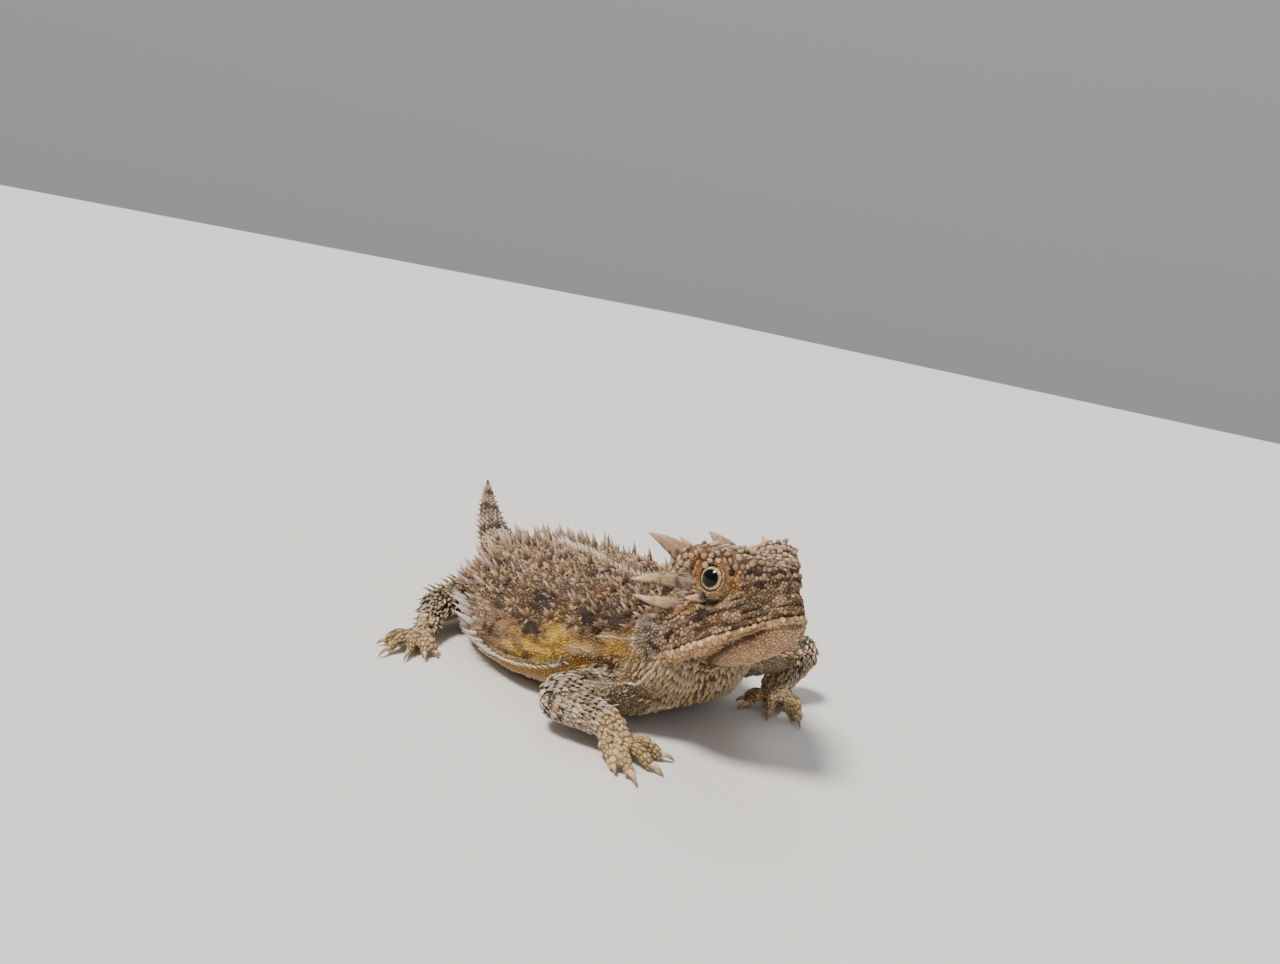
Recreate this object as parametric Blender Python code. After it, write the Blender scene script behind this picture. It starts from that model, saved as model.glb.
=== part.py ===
"""A Texas horned lizard, life size, propped on its forelegs with its head raised: a still museum model.

+X runs towards the head, +Y to the animal's left and +Z up. The origin is on the belly's flat, at floor
level. Sizes are written in millimetres and turned into metres by MM.
"""

import math
import random

import bmesh
import bpy
from mathutils import Matrix, Vector
from mathutils.bvhtree import BVHTree

MM = 0.001
GAP = 0.3  # clearance between pieces that touch
SEED = 7

# Driving sizes of the animal.
TRUNK_FRONT = 22.0
TRUNK_REAR = -36.0
EYE_RADIUS = 2.75

# The head's own frame: its origin is the back of the skull, x towards the snout.
HEAD_PLACE = (28.7, -5.3, 24.5)
HEAD_YAW = -10.0
HEAD_PITCH = 23.0
HEAD_ROLL = 2.5

# How finely each form is faceted.
TRUNK_SIDES = 28
TRUNK_RINGS = 20
LIMB_SIDES = 10

# Trunk: x, middle y, half width, top of the back, height of the widest line, underside.
TRUNK = (
    (-37.0, 0.0, 6.6, 13.6, 9.0, 4.8),
    (-31.0, -0.3, 13.2, 16.6, 7.6, 1.0),
    (-22.0, -1.2, 21.0, 18.8, 6.4, -0.5),
    (-10.0, -2.0, 25.6, 20.3, 6.2, -0.9),
    (2.0, -2.4, 25.8, 21.2, 7.0, -0.7),
    (11.0, -2.9, 22.6, 21.8, 9.0, 0.5),
    (18.0, -3.4, 18.6, 22.5, 11.2, 1.3),
    (22.0, -3.8, 16.2, 23.2, 12.4, 2.1),
)

SQUARENESS = (2.25, 3.2)  # of the trunk's and neck's outline above and below its widest line

# Neck: lean of its cross section, then middle x, y, z, half width, rise and drop.
NECK = (
    (0.0, 22.0, -3.8, 12.4, 16.2, 10.8, 10.3),
    (12.0, 25.0, -4.3, 14.2, 15.6, 11.0, 10.6),
    (24.0, 27.2, -4.8, 17.0, 13.4, 11.2, 9.9),
    (26.0, 29.5, -5.4, 20.5, 11.2, 8.6, 9.0),
    (23.0, 32.0, -5.9, 23.4, 8.8, 6.4, 7.0),
)
EAR_FOLD = (-2.6, 11.6, -5.4)  # middle of the fold beside the ear, in the head's frame

# Head: x, crown, brow half width and height, orbit, lip, jaw edge, chin. Half widths come before heights.
HEAD = (
    (-2.4, 6.4, 8.2, 5.4, 9.8, 0.8, 10.6, -5.4, 9.6, -9.2, -11.2),
    (1.0, 7.6, 9.6, 6.6, 11.4, 2.0, 12.2, -5.4, 11.2, -9.4, -11.6),
    (5.0, 8.4, 9.3, 8.4, 9.8, 3.4, 11.6, -4.8, 11.2, -8.8, -11.2),
    (9.5, 8.2, 8.7, 8.6, 7.9, 3.4, 10.0, -4.4, 9.9, -7.8, -10.2),
    (13.5, 7.4, 6.6, 7.2, 6.5, 2.6, 7.4, -3.6, 6.8, -6.7, -8.9),
    (16.8, 6.0, 4.0, 5.5, 4.4, 1.5, 4.7, -2.8, 4.2, -5.6, -7.6),
    (19.0, 4.2, 2.2, 3.8, 2.7, 0.8, 2.9, -2.2, 2.6, -4.7, -6.2),
)
SNOUT_TIP = (20.1, 0.0, -0.9)
NAPE_END = (-3.4, 0.0, -2.4)
MOUTH_LINE = ((-6.0, -9.8), (-1.0, -8.8), (4.0, -7.3), (9.0, -5.9), (14.0, -4.6), (18.0, -3.4), (24.0, -2.3))
NOSTRIL = (18.4, 3.5, 2.3)
EYE_PLACE = (9.6, 7.0, 3.7)
EYE_AXIS = (0.30, 0.92, 0.16)

# Tail, from root to tip: x, y, z, half width, half height.
TAIL = (
    (-36.0, 0.0, 9.0, 6.9, 4.4),
    (-41.0, 0.5, 9.6, 5.6, 3.8),
    (-51.0, 3.6, 11.2, 3.9, 2.7),
    (-62.0, 9.0, 13.2, 2.6, 1.9),
    (-71.0, 14.0, 15.4, 1.5, 1.2),
    (-76.5, 17.2, 17.0, 0.55, 0.5),
)
TAIL_BREAK = 0.42  # where its two lengths part, as a share of the way along it
TAIL_SIDES = 12

# Limb joints, x, y, z, for the right side as the photo shows it, and for the left.
SHOULDER = {"R": (23.6, -11.0, 6.8), "L": (22.0, 6.0, 9.6)}
ELBOW = {"R": (20.0, -29.4, 5.8), "L": (25.6, 28.4, 9.6)}
WRIST = {"R": (29.2, -24.8, 4.4), "L": (26.0, 21.8, 3.3)}
HAND_TURN = {"R": -3.0, "L": -38.0}
HIP = {"R": (-28.5, -8.5, 8.0), "L": (-28.5, 8.5, 8.0)}
KNEE = {"R": (-23.4, -27.6, 4.4), "L": (-22.4, 27.6, 5.0)}
ANKLE = {"R": (-18.6, -31.8, 2.5), "L": (-22.6, 35.8, 2.6)}
FOOT_TURN = {"R": -56.0, "L": 38.0}
SIDES = {"R": -1.0, "L": 1.0}
UP = Vector((0, 0, 1))

# Fringe along each flank: its ends along x, how far apart its spines are, and their lengths from the rear
# to the front, for the upper row and the lower one.
FRINGE_REAR = -32.0
FRINGE_FRONT = 13.5
FRINGE_STEP = 2.35
FRINGE_LENGTH = (5.0, 3.2)
LOW_FRINGE_LENGTH = (2.8, 1.8)

# Spines of the back: rows by their turn from the flank over the back, how far apart, and their length.
BACK_ROWS = ((78.0, 5.6, 3.2), (60.0, 6.0, 3.0), (43.0, 5.4, 2.7), (27.0, 5.0, 2.4))
BACK_SMALL = 60
THROAT_SCALES = 13
BROW_KNOBS = 6
JAW_SHIELDS = 8
CROWN_KNOBS = ((-1.4, 2.2, 6.7, 1.8), (2.2, 10.6, 3.6, 1.4), (2.4, 3.0, 7.7, 1.2), (6.5, 4.0, 8.2, 1.1))
ROOT_DEPTH = 1.1  # how far a spine's root lies under the skin
SPINE_WIDTH = 0.85

# Digits, from the outermost: shift outwards on the palm, turn inwards in degrees, reach with the claw.
FINGERS = ((2.8, -16.0, 5.0), (1.2, -12.0, 9.0), (-0.6, 20.0, 8.2), (-2.2, 54.0, 7.8), (-2.8, 84.0, 5.4))
TOES = ((2.4, -40.0, 5.6), (1.2, -10.0, 9.4), (0.0, 12.0, 8.2), (-1.2, 34.0, 6.4), (-2.2, 58.0, 4.4))


def mm(point):
    return Vector(point) * MM


def material(name, colour, roughness):
    made = bpy.data.materials.new(name)
    made.use_nodes = True
    shader = made.node_tree.nodes["Principled BSDF"]
    shader.inputs["Base Color"].default_value = (*colour, 1.0)
    shader.inputs["Roughness"].default_value = roughness
    shader.inputs["Metallic"].default_value = 0.0
    return made


def cubic(table, at):
    """The row of the table at a value of its first column, on a smooth curve through the rows."""
    last = len(table) - 1
    k = 0
    while k < last - 1 and at > table[k + 1][0]:
        k += 1
    low, high = table[k], table[k + 1]
    before, after = table[max(k - 1, 0)], table[min(k + 2, last)]
    span = high[0] - low[0]
    t = (at - low[0]) / span
    row = []
    for column in range(1, len(low)):
        rise_in = (high[column] - before[column]) / (high[0] - before[0]) * span
        rise_out = (after[column] - low[column]) / (after[0] - low[0]) * span
        row.append(
            low[column] * (2 * t**3 - 3 * t**2 + 1)
            + rise_in * (t**3 - 2 * t**2 + t)
            + high[column] * (3 * t**2 - 2 * t**3)
            + rise_out * (t**3 - t**2)
        )
    return row


def oval(middle, side, up, half_width, rise, drop, square_top, square_low, count):
    """A ring of points: a rounded box that reaches rise above its middle and drop below it."""
    ring = []
    for k in range(count):
        angle = 2 * math.pi * k / count
        across, over = math.cos(angle), math.sin(angle)
        power = 2 / (square_top if over > 0 else square_low)
        reach = rise if over > 0 else drop
        ring.append(
            middle
            + side * half_width * math.copysign(abs(across) ** power, across)
            + up * reach * math.copysign(abs(over) ** power, over)
        )
    return ring


def skinned(name, rings, first, last, finish, parent=None):
    """A closed object through rings of points, closed by a point at each end."""
    shape = bmesh.new()
    rows = [[shape.verts.new(p) for p in ring] for ring in rings]
    ends = shape.verts.new(first), shape.verts.new(last)
    count = len(rings[0])
    for k in range(count):
        after = (k + 1) % count
        for low, high in zip(rows, rows[1:]):
            shape.faces.new((low[k], low[after], high[after], high[k]))
        shape.faces.new((ends[0], rows[0][after], rows[0][k]))
        shape.faces.new((ends[1], rows[-1][k], rows[-1][after]))
    bmesh.ops.recalc_face_normals(shape, faces=shape.faces)
    return finished(name, shape, finish, parent)


def finished(name, shape, finish, parent=None):
    bmesh.ops.triangulate(shape, faces=shape.faces)
    mesh = bpy.data.meshes.new(name)
    shape.to_mesh(mesh)
    shape.free()
    mesh.materials.append(finish)
    made = bpy.data.objects.new(name, mesh)
    bpy.context.scene.collection.objects.link(made)
    made.parent = parent
    return made


def removed(obj):
    mesh = obj.data
    bpy.data.objects.remove(obj)
    if mesh and not mesh.users:
        bpy.data.meshes.remove(mesh)


def apply_modifiers(obj):
    bpy.context.view_layer.update()
    graph = bpy.context.evaluated_depsgraph_get()
    made = bpy.data.meshes.new_from_object(obj.evaluated_get(graph))
    old = obj.data
    obj.modifiers.clear()
    obj.data = made
    bpy.data.meshes.remove(old)


def keep_largest(obj):
    """Keeps only the largest closed surface of the object."""
    shape = bmesh.new()
    shape.from_mesh(obj.data)
    left = set(shape.verts)
    bodies = []
    while left:
        body, todo = set(), [left.pop()]
        while todo:
            vertex = todo.pop()
            body.add(vertex)
            for edge in vertex.link_edges:
                other = edge.other_vert(vertex)
                if other in left:
                    left.remove(other)
                    todo.append(other)
        bodies.append(body)
    largest = max(bodies, key=len)
    bmesh.ops.delete(shape, geom=[v for v in shape.verts if v not in largest], context="VERTS")
    shape.to_mesh(obj.data)
    shape.free()


def carve(obj, cutter, operation="DIFFERENCE"):
    cut = obj.modifiers.new("cut", "BOOLEAN")
    cut.operation = operation
    cut.solver = "MANIFOLD"
    cut.object = cutter
    apply_modifiers(obj)


def join(obj, pieces):
    """Fuses closed pieces into the object with one union, then removes them."""
    group = bpy.data.collections.new("pieces")
    bpy.context.scene.collection.children.link(group)
    for piece in pieces:
        group.objects.link(piece)
    union = obj.modifiers.new("join", "BOOLEAN")
    union.operation = "UNION"
    union.solver = "MANIFOLD"
    union.operand_type = "COLLECTION"
    union.collection = group
    apply_modifiers(obj)
    for piece in pieces:
        removed(piece)
    bpy.data.collections.remove(group)
    keep_largest(obj)


def swollen(obj, by=GAP):
    """A copy of the object that reaches a little further out all over."""
    copy = obj.copy()
    copy.data = obj.data.copy()
    bpy.context.scene.collection.objects.link(copy)
    shape = bmesh.new()
    shape.from_mesh(copy.data)
    shape.normal_update()
    for vertex in shape.verts:
        vertex.co += vertex.normal * vertex.calc_shell_factor() * by * MM
    shape.to_mesh(copy.data)
    shape.free()
    return copy


def clear_of(obj, *others):
    """Cuts the object back from its neighbours by the gap."""
    for other in others:
        cutter = swollen(other)
        carve(obj, cutter)
        removed(cutter)
    keep_largest(obj)


def limb(name, joints, widths, heights, finish, sides=LIMB_SIDES, steps=3, up=UP, ends=(0.75, 0.75)):
    """A round-ended limb along a line of joints, in millimetres."""
    count = len(joints) - 1
    rows = [(k / count, *joint, widths[k], heights[k]) for k, joint in enumerate(joints)]
    spots = []
    for k in range(count * steps + 1):
        x, y, z, width, height = cubic(rows, k / (count * steps))
        spots.append((Vector((x, y, z)), width, height))
    rings = []
    for k, (middle, width, height) in enumerate(spots):
        run = spots[min(k + 1, len(spots) - 1)][0] - spots[max(k - 1, 0)][0]
        run.normalize()
        side = run.cross(up).normalized()
        over = side.cross(run)
        if k == 0:
            start = middle - run * height * ends[0]
            rings.append(ring_at(middle.lerp(start, 0.72), side, over, width * 0.66, height * 0.66, sides))
        rings.append(ring_at(middle, side, over, width, height, sides))
        if k == len(spots) - 1:
            stop = middle + run * height * ends[1]
            rings.append(ring_at(middle.lerp(stop, 0.72), side, over, width * 0.66, height * 0.66, sides))
    return skinned(name, rings, start * MM, stop * MM, finish)


def ring_at(middle, side, up, width, height, sides):
    return [p * MM for p in oval(middle, side, up, width, height, height, 2.0, 2.0, sides)]


def spike(name, root, tip, radius, finish, sides=5, bend=0.0, parent=None, steps=2):
    """A curved cone from root to tip, in millimetres. bend lifts its middle, as a share of its length."""
    root, tip = Vector(root), Vector(tip)
    run = tip - root
    side = run.cross(UP).normalized()
    over = side.cross(run).normalized()
    rings = []
    for k in range(steps + 1):
        share = k / (steps + 1)
        lift = bend * run.length * math.sin(math.pi * share)
        wide = radius * (1 - share) ** 0.8
        rings.append(ring_at(root + run * share + over * lift, side, over, wide, wide, sides))
    return skinned(name, rings, root * MM, tip * MM, finish, parent)


def trunk_ring(x, count=TRUNK_SIDES):
    middle_y, half_width, top, widest, low = cubic(TRUNK, x)
    middle = Vector((x, middle_y, widest))
    ring = oval(middle, Vector((0, 1, 0)), UP, half_width, top - widest, widest - low, *SQUARENESS, count)
    for point in ring:
        point.z = max(point.z, 0.0)
    return [p * MM for p in ring]


def make_trunk(finish):
    length = TRUNK_FRONT - TRUNK_REAR
    rings = [trunk_ring(TRUNK_REAR + length * k / TRUNK_RINGS) for k in range(TRUNK_RINGS + 1)]
    return skinned("torso", rings, centre_of(rings[0]), centre_of(rings[-1]), finish)


def trunk_spot(x, degrees):
    """A place on the trunk's surface and its outward direction: 0 degrees is the left flank, 90 the top."""

    def on_skin(along, turn):
        middle_y, half_width, top, widest, low = cubic(TRUNK, along)
        across, over = math.cos(turn), math.sin(turn)
        power = 2 / SQUARENESS[0 if over > 0 else 1]
        reach = top - widest if over > 0 else widest - low
        return Vector(
            (
                along,
                middle_y + half_width * math.copysign(abs(across) ** power, across),
                widest + reach * math.copysign(abs(over) ** power, over),
            )
        )

    turn = math.radians(degrees)
    spot = on_skin(x, turn)
    round_it = on_skin(x, turn + 0.05) - on_skin(x, turn - 0.05)
    along_it = on_skin(x + 0.5, turn) - on_skin(x - 0.5, turn)
    return spot, round_it.cross(along_it).normalized()


class Thorns:
    """The spines of one node, each kept clear of the other nodes."""

    def __init__(self, node, others, finish):
        self.node = node
        self.finish = finish
        self.pieces = []
        self.trees = []
        for other in others:
            place = other.matrix_world
            points = [place @ vertex.co for vertex in other.data.vertices]
            faces = [face.vertices for face in other.data.polygons]
            self.trees.append(BVHTree.FromPolygons(points, faces))

    def clear(self, spot, room):
        """True where the spot, in metres, is outside every other node by so many millimetres."""
        for tree in self.trees:
            near, normal, _, distance = tree.find_nearest(spot)
            if distance < room * MM or (distance < 6 * MM and (spot - near).dot(normal) < 0):
                return False
        return True

    def add(self, spot, out, lie, length, width, thickness=None, depth=ROOT_DEPTH):
        """A spine rooted in the skin at a spot: it leaves it outwards and bends over towards its lie."""
        out, lie = out.normalized(), lie.normalized()
        rise = (out * 0.55 + lie * 0.45).normalized()
        side = lie.cross(out)
        side = side.normalized() if side.length > 0.05 else out.orthogonal().normalized()
        over = side.cross(rise).normalized()
        middle = spot + rise * length * 0.45
        tip = middle + (lie * 0.8 + rise * 0.2).normalized() * length * 0.55
        room = width * 0.6 + GAP + 0.1
        if not all(self.clear(mm(at), room) for at in (spot, (spot + middle) / 2, middle, tip)):
            return
        if tip.z < 0.3:
            return
        rings = []
        for place, share in ((spot - out * depth, 1.15), (middle, 0.62)):
            corners = (side * width, over * (thickness or width), -side * width, -over * (thickness or width))
            rings.append([mm(place + corner * share * 0.5) for corner in corners])
        self.pieces.append(skinned("thorn", rings, mm(spot - out * depth * 1.1), mm(tip), self.finish))

    def grow(self):
        """Fuses the spines into their node."""
        if self.pieces:
            join(self.node, self.pieces)
        self.pieces = []


def back_spines(thorns, rng):
    """Rows of tall spines along the back, leaning backwards, with small ones strewn between them."""
    for row, (degrees, step, length) in enumerate(BACK_ROWS):
        for turn in (degrees, 180 - degrees):
            x = TRUNK_FRONT - 1.6 - step * 0.5 * (row % 2)
            while x > TRUNK_REAR + 2.5:
                spot, out = trunk_spot(x + rng.uniform(-0.7, 0.7), turn + rng.uniform(-3, 3))
                lie = Vector((-1.0, 0, 0.25)) + out * 0.5
                size = length * rng.uniform(0.82, 1.15)
                thorns.add(spot, out, lie, size, SPINE_WIDTH * rng.uniform(0.95, 1.25))
                x -= step * rng.uniform(0.88, 1.12)
    for _ in range(BACK_SMALL):
        spot, out = trunk_spot(rng.uniform(TRUNK_REAR + 3, TRUNK_FRONT - 2), rng.uniform(18, 162))
        thorns.add(spot, out, Vector((-1.0, 0, 0.3)) + out * 0.3, rng.uniform(1.2, 1.7), 0.7)


def fringe(thorns, rng):
    """Two rows of flat, pointed spines along each flank, longest at the rear."""
    for sign in SIDES.values():
        for turn, lengths, step, width in (
            (3.0, FRINGE_LENGTH, FRINGE_STEP, 1.6),
            (-24.0, LOW_FRINGE_LENGTH, FRINGE_STEP * 1.15, 1.2),
        ):
            x = FRINGE_FRONT
            while x > FRINGE_REAR:
                share = (FRINGE_FRONT - x) / (FRINGE_FRONT - FRINGE_REAR)
                length = (lengths[1] + (lengths[0] - lengths[1]) * share) * rng.uniform(0.9, 1.1)
                spot, out = trunk_spot(x, turn if sign > 0 else 180 - turn)
                out = Vector((out.x * 0.5, out.y, out.z * 0.5)).normalized()
                lie = Vector((-0.75 - 0.25 * share, 0.85 * sign, 0.16 + rng.uniform(-0.06, 0.1)))
                thorns.add(spot, out, lie, length, width, 0.75, ROOT_DEPTH * 1.5)
                x -= step * rng.uniform(0.94, 1.06)


def neck_spines(thorns, rng):
    """Tall spines over the nape and shoulders, and the pointed scales that hang along the throat fold."""
    for share in (0.02, 0.16, 0.30):
        for turn in (30, 48, 66, 84, 96, 114, 132, 150):
            spot, out = neck_spot(share, turn + rng.uniform(-4, 4))
            thorns.add(spot, out, Vector((-1.0, 0, 0.4)) + out * 0.5, rng.uniform(1.6, 2.8), SPINE_WIDTH)
    for share, length in ((0.12, 2.0), (0.27, 2.3)):
        for k in range(THROAT_SCALES):
            turn = 196 + 148 * (k + 0.5 * rng.random()) / THROAT_SCALES
            spot, out = neck_spot(share, turn)
            lie = Vector((-0.8, 0, -0.5)) + out * 0.6
            thorns.add(spot, out, lie, length * rng.uniform(0.9, 1.1), 1.3, 0.7)


def tail_spines(base, tip, rng):
    """Side rows and two upper rows along the tail, smaller towards its tip."""
    for side in (-1.0, 1.0):
        for lean, start, count, length in ((0.15, 0.03, 15, 3.0), (0.9, 0.02, 12, 1.9)):
            for k in range(count):
                share = start + (0.93 - start) * (k + 0.25 * rng.random()) / count
                x, y, z, width, height, run = tail_row(share)
                across = run.cross(UP).normalized() * side
                over = across.cross(run) * side
                out = (across * (1 - lean) + over * lean).normalized()
                reach = Vector((width * (1 - lean * 0.45), height * min(1.0, lean * 1.2 + 0.1)))
                spot = Vector((x, y, z)) + across * reach.x * (1 - lean * 0.2) + over * reach.y * 0.7
                thorns = base if share < TAIL_BREAK - 0.02 else tip
                depth = min(ROOT_DEPTH * 1.3, 0.8 * min(width, height) + 0.2)
                size = length * (1 - 0.72 * share) * rng.uniform(0.9, 1.1)
                if abs(share - TAIL_BREAK) > 0.035:
                    thorns.add(spot, out, run * 0.9 + out * 0.6, size, 0.55 + 0.5 * (1 - share), None, depth)


def limb_spines(thorns, start, end, width, rows, length, rng):
    """Rows of pointed scales along a limb, lying towards its far end."""
    start, end = Vector(start), Vector(end)
    run = (end - start).normalized()
    side = run.cross(UP).normalized()
    over = side.cross(run)
    count = max(3, round((end - start).length / 3.0))
    for turn in rows:
        for k in range(count):
            share = 0.15 + 0.8 * (k + 0.3 + 0.4 * rng.random()) / count
            angle = math.radians(turn + rng.uniform(-8, 8))
            out = side * math.cos(angle) + over * math.sin(angle)
            spot = start.lerp(end, share) + out * (width[0] + (width[1] - width[0]) * share) * 0.96
            thorns.add(spot, out, run + out * 0.55, length * rng.uniform(0.85, 1.15), 0.95, 0.7)


def head_spines(thorns, jaw_thorns, empty, rng):
    """Knobs along the brows and round the back of the skull, and the shields along the jaw's edge."""
    place = empty.matrix_world

    def world(spot):
        return (place @ mm(spot)) / MM

    def turned(way):
        return place.to_3x3() @ Vector(way)

    for sign in SIDES.values():
        for k in range(BROW_KNOBS):
            x = 5.5 + 12.0 * k / (BROW_KNOBS - 1)
            row = cubic(HEAD, x)
            spot = world((x, row[1] * sign, row[2] - 0.2))
            size = 1.6 - 0.07 * k
            thorns.add(spot, turned((0, 0.5 * sign, 1)), turned((-0.4, 0.7 * sign, 1)), size, 1.5)
        for x, y, z, length in CROWN_KNOBS:
            spot = world((x, y * sign, z))
            thorns.add(spot, turned((-0.3, 0.3 * sign, 1)), turned((-0.8, 0.4 * sign, 0.6)), length, 1.4)
        for k in range(JAW_SHIELDS):
            x = 0.4 + 16.4 * k / (JAW_SHIELDS - 1)
            row = cubic(HEAD, x)
            spot = world((x, (row[5] * 0.25 + row[7] * 0.75) * sign, row[6] * 0.25 + row[8] * 0.75))
            length = 2.4 - 1.5 * k / (JAW_SHIELDS - 1)
            jaw_thorns.add(spot, turned((0, sign, -0.25)), turned((-1, 0.55 * sign, -0.1)), length, 1.7, 0.9)
    thorns.add(world((-2.2, 0, 6.0)), turned((-0.4, 0, 1)), turned((-1, 0, 0.6)), 2.0, 1.4)


def centre_of(ring):
    return sum(ring, Vector()) / len(ring)


def neck_section(share):
    """Middle, side, up, half width, rise and drop of the neck's outline, a share of the way to the head."""
    rows = [(k / (len(NECK) - 1), *station) for k, station in enumerate(NECK)]
    lean, x, y, z, half_width, rise, drop = cubic(rows, share)
    turn = Matrix.Rotation(math.radians(-lean), 3, "Y")
    return Vector((x, y, z)), Vector((0, 1, 0)), turn @ UP, half_width, rise, drop


def neck_ring(share, count=TRUNK_SIDES):
    middle, side, up, half_width, rise, drop = neck_section(share)
    shift = Vector((GAP if share == 0 else 0, 0, 0))
    return [p * MM for p in oval(middle + shift, side, up, half_width, rise, drop, *SQUARENESS, count)]


def neck_spot(share, degrees):
    """A place on the neck's surface and its outward direction."""
    middle, side, up, half_width, rise, drop = neck_section(share)
    across, over = math.cos(math.radians(degrees)), math.sin(math.radians(degrees))
    power = 2 / SQUARENESS[0 if over > 0 else 1]
    reach = rise if over > 0 else drop
    arm = side * half_width * math.copysign(abs(across) ** power, across)
    arm += up * reach * math.copysign(abs(over) ** power, over)
    return middle + arm * 0.99, (side * across / half_width + up * over / reach).normalized()


def make_neck(finish, empty):
    steps = 8
    rings = [neck_ring(k / steps) for k in range(steps + 1)]
    neck = skinned("neck", rings, centre_of(rings[0]), centre_of(rings[-1]), finish)
    folds = []
    for sign in SIDES.values():
        fold = ball("fold", (EAR_FOLD[0], EAR_FOLD[1] * sign, EAR_FOLD[2]), 3.4, finish, empty, (10, 6))
        folds.append(fold)
    join(neck, folds)
    return neck


def head_ring(x, per_side):
    """A closed outline across the head through its named heights and half widths."""
    crown, brow_w, brow_z, orbit_w, orbit_z, lip_w, lip_z, jaw_w, jaw_z, chin = cubic(HEAD, x)
    half = [(0.0, crown), (brow_w, brow_z), (orbit_w, orbit_z), (lip_w, lip_z), (jaw_w, jaw_z), (0.0, chin)]
    outline = half + [(-y, z) for y, z in half[-2:0:-1]]
    count = len(outline)
    ring = []
    for k in range(count):
        before, start, end, after = (Vector(outline[(k + j) % count]) for j in (-1, 0, 1, 2))
        for n in range(per_side):
            t = n / per_side
            spot = (
                start * 2
                + (end - before) * t
                + (before * 2 - start * 5 + end * 4 - after) * t**2
                + (start * 3 - before - end * 3 + after) * t**3
            ) / 2
            ring.append(mm((x, spot.x, spot.y)))
    return ring


def head_form(name, finish, parent, per_side=2, rings=13):
    first, last = HEAD[0][0], HEAD[-1][0]
    rows = [head_ring(first + (last - first) * k / (rings - 1), per_side) for k in range(rings)]
    return skinned(name, rows, mm(NAPE_END), mm(SNOUT_TIP), finish, parent)


def mouth_slab(name, finish, parent, down):
    """All that lies above the mouth line lowered by down, as a cutter."""
    reach, high = 30.0, 40.0
    shape = bmesh.new()
    rows = []
    for x, z in MOUTH_LINE:
        corners = ((-reach, z - down), (reach, z - down), (reach, high), (-reach, high))
        rows.append([shape.verts.new(mm((x, *corner))) for corner in corners])
    for low, up in zip(rows, rows[1:]):
        for k in range(4):
            after = (k + 1) % 4
            shape.faces.new((low[k], low[after], up[after], up[k]))
    shape.faces.new(rows[0])
    shape.faces.new(rows[-1])
    bmesh.ops.recalc_face_normals(shape, faces=shape.faces)
    return finished(name, shape, finish, parent)


def ball(name, middle, radius, finish, parent=None, divisions=(12, 8), turn=None):
    shape = bmesh.new()
    bmesh.ops.create_uvsphere(shape, u_segments=divisions[0], v_segments=divisions[1], radius=radius * MM)
    if turn is not None:
        bmesh.ops.rotate(shape, verts=shape.verts, matrix=turn)
    bmesh.ops.translate(shape, verts=shape.verts, vec=mm(middle))
    return finished(name, shape, finish, parent)


def tyre(name, middle, axis, ring_radius, thickness, finish, parent, around=12, across=6):
    """A ring of flesh round an axis, such as an eyelid."""
    shape = bmesh.new()
    facing = Vector(axis).normalized().to_track_quat("Z", "Y").to_matrix()
    rows = []
    for k in range(around):
        turn = 2 * math.pi * k / around
        out = Vector((math.cos(turn), math.sin(turn), 0))
        row = []
        for n in range(across):
            angle = 2 * math.pi * n / across
            spot = out * (ring_radius + thickness * math.cos(angle)) + UP * thickness * math.sin(angle)
            row.append(shape.verts.new((Vector(middle) + facing @ spot) * MM))
        rows.append(row)
    for k in range(around):
        low, high = rows[k], rows[(k + 1) % around]
        for n in range(across):
            after = (n + 1) % across
            shape.faces.new((low[n], high[n], high[after], low[after]))
    bmesh.ops.recalc_face_normals(shape, faces=shape.faces)
    return finished(name, shape, finish, parent)


def make_head(finishes, empty):
    """The skull with its lids and nostrils, the jaw below the mouth line, and the eyes."""
    head = head_form("head", finishes["head"], empty)
    jaw = head_form("jaw", finishes["throat"], empty)
    above = mouth_slab("above_mouth", finishes["head"], empty, 0.0)
    carve(head, above, "INTERSECT")
    removed(above)
    above = mouth_slab("above_mouth", finishes["head"], empty, GAP)
    carve(jaw, above)
    removed(above)
    lids, eyes = [], []
    for side, sign in SIDES.items():
        place = (EYE_PLACE[0], EYE_PLACE[1] * sign, EYE_PLACE[2])
        axis = (EYE_AXIS[0], EYE_AXIS[1] * sign, EYE_AXIS[2])
        rim = Vector(place) + Vector(axis).normalized() * EYE_RADIUS * 0.62
        lids.append(tyre("lid_" + side, rim, axis, EYE_RADIUS * 0.84, 0.85, finishes["head"], empty))
        turn = Vector(axis).to_track_quat("Z", "Y").to_matrix()
        eyes.append(ball("eye_" + side, place, EYE_RADIUS, finishes["eye"], empty, turn=turn))
    join(head, lids)
    clear_of(head, *eyes)
    for sign in SIDES.values():
        place = (NOSTRIL[0], NOSTRIL[1] * sign, NOSTRIL[2])
        hole = ball("nostril", place, 0.7, finishes["head"], empty, (8, 4))
        carve(head, hole)
        removed(hole)
    return head, jaw, eyes


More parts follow.
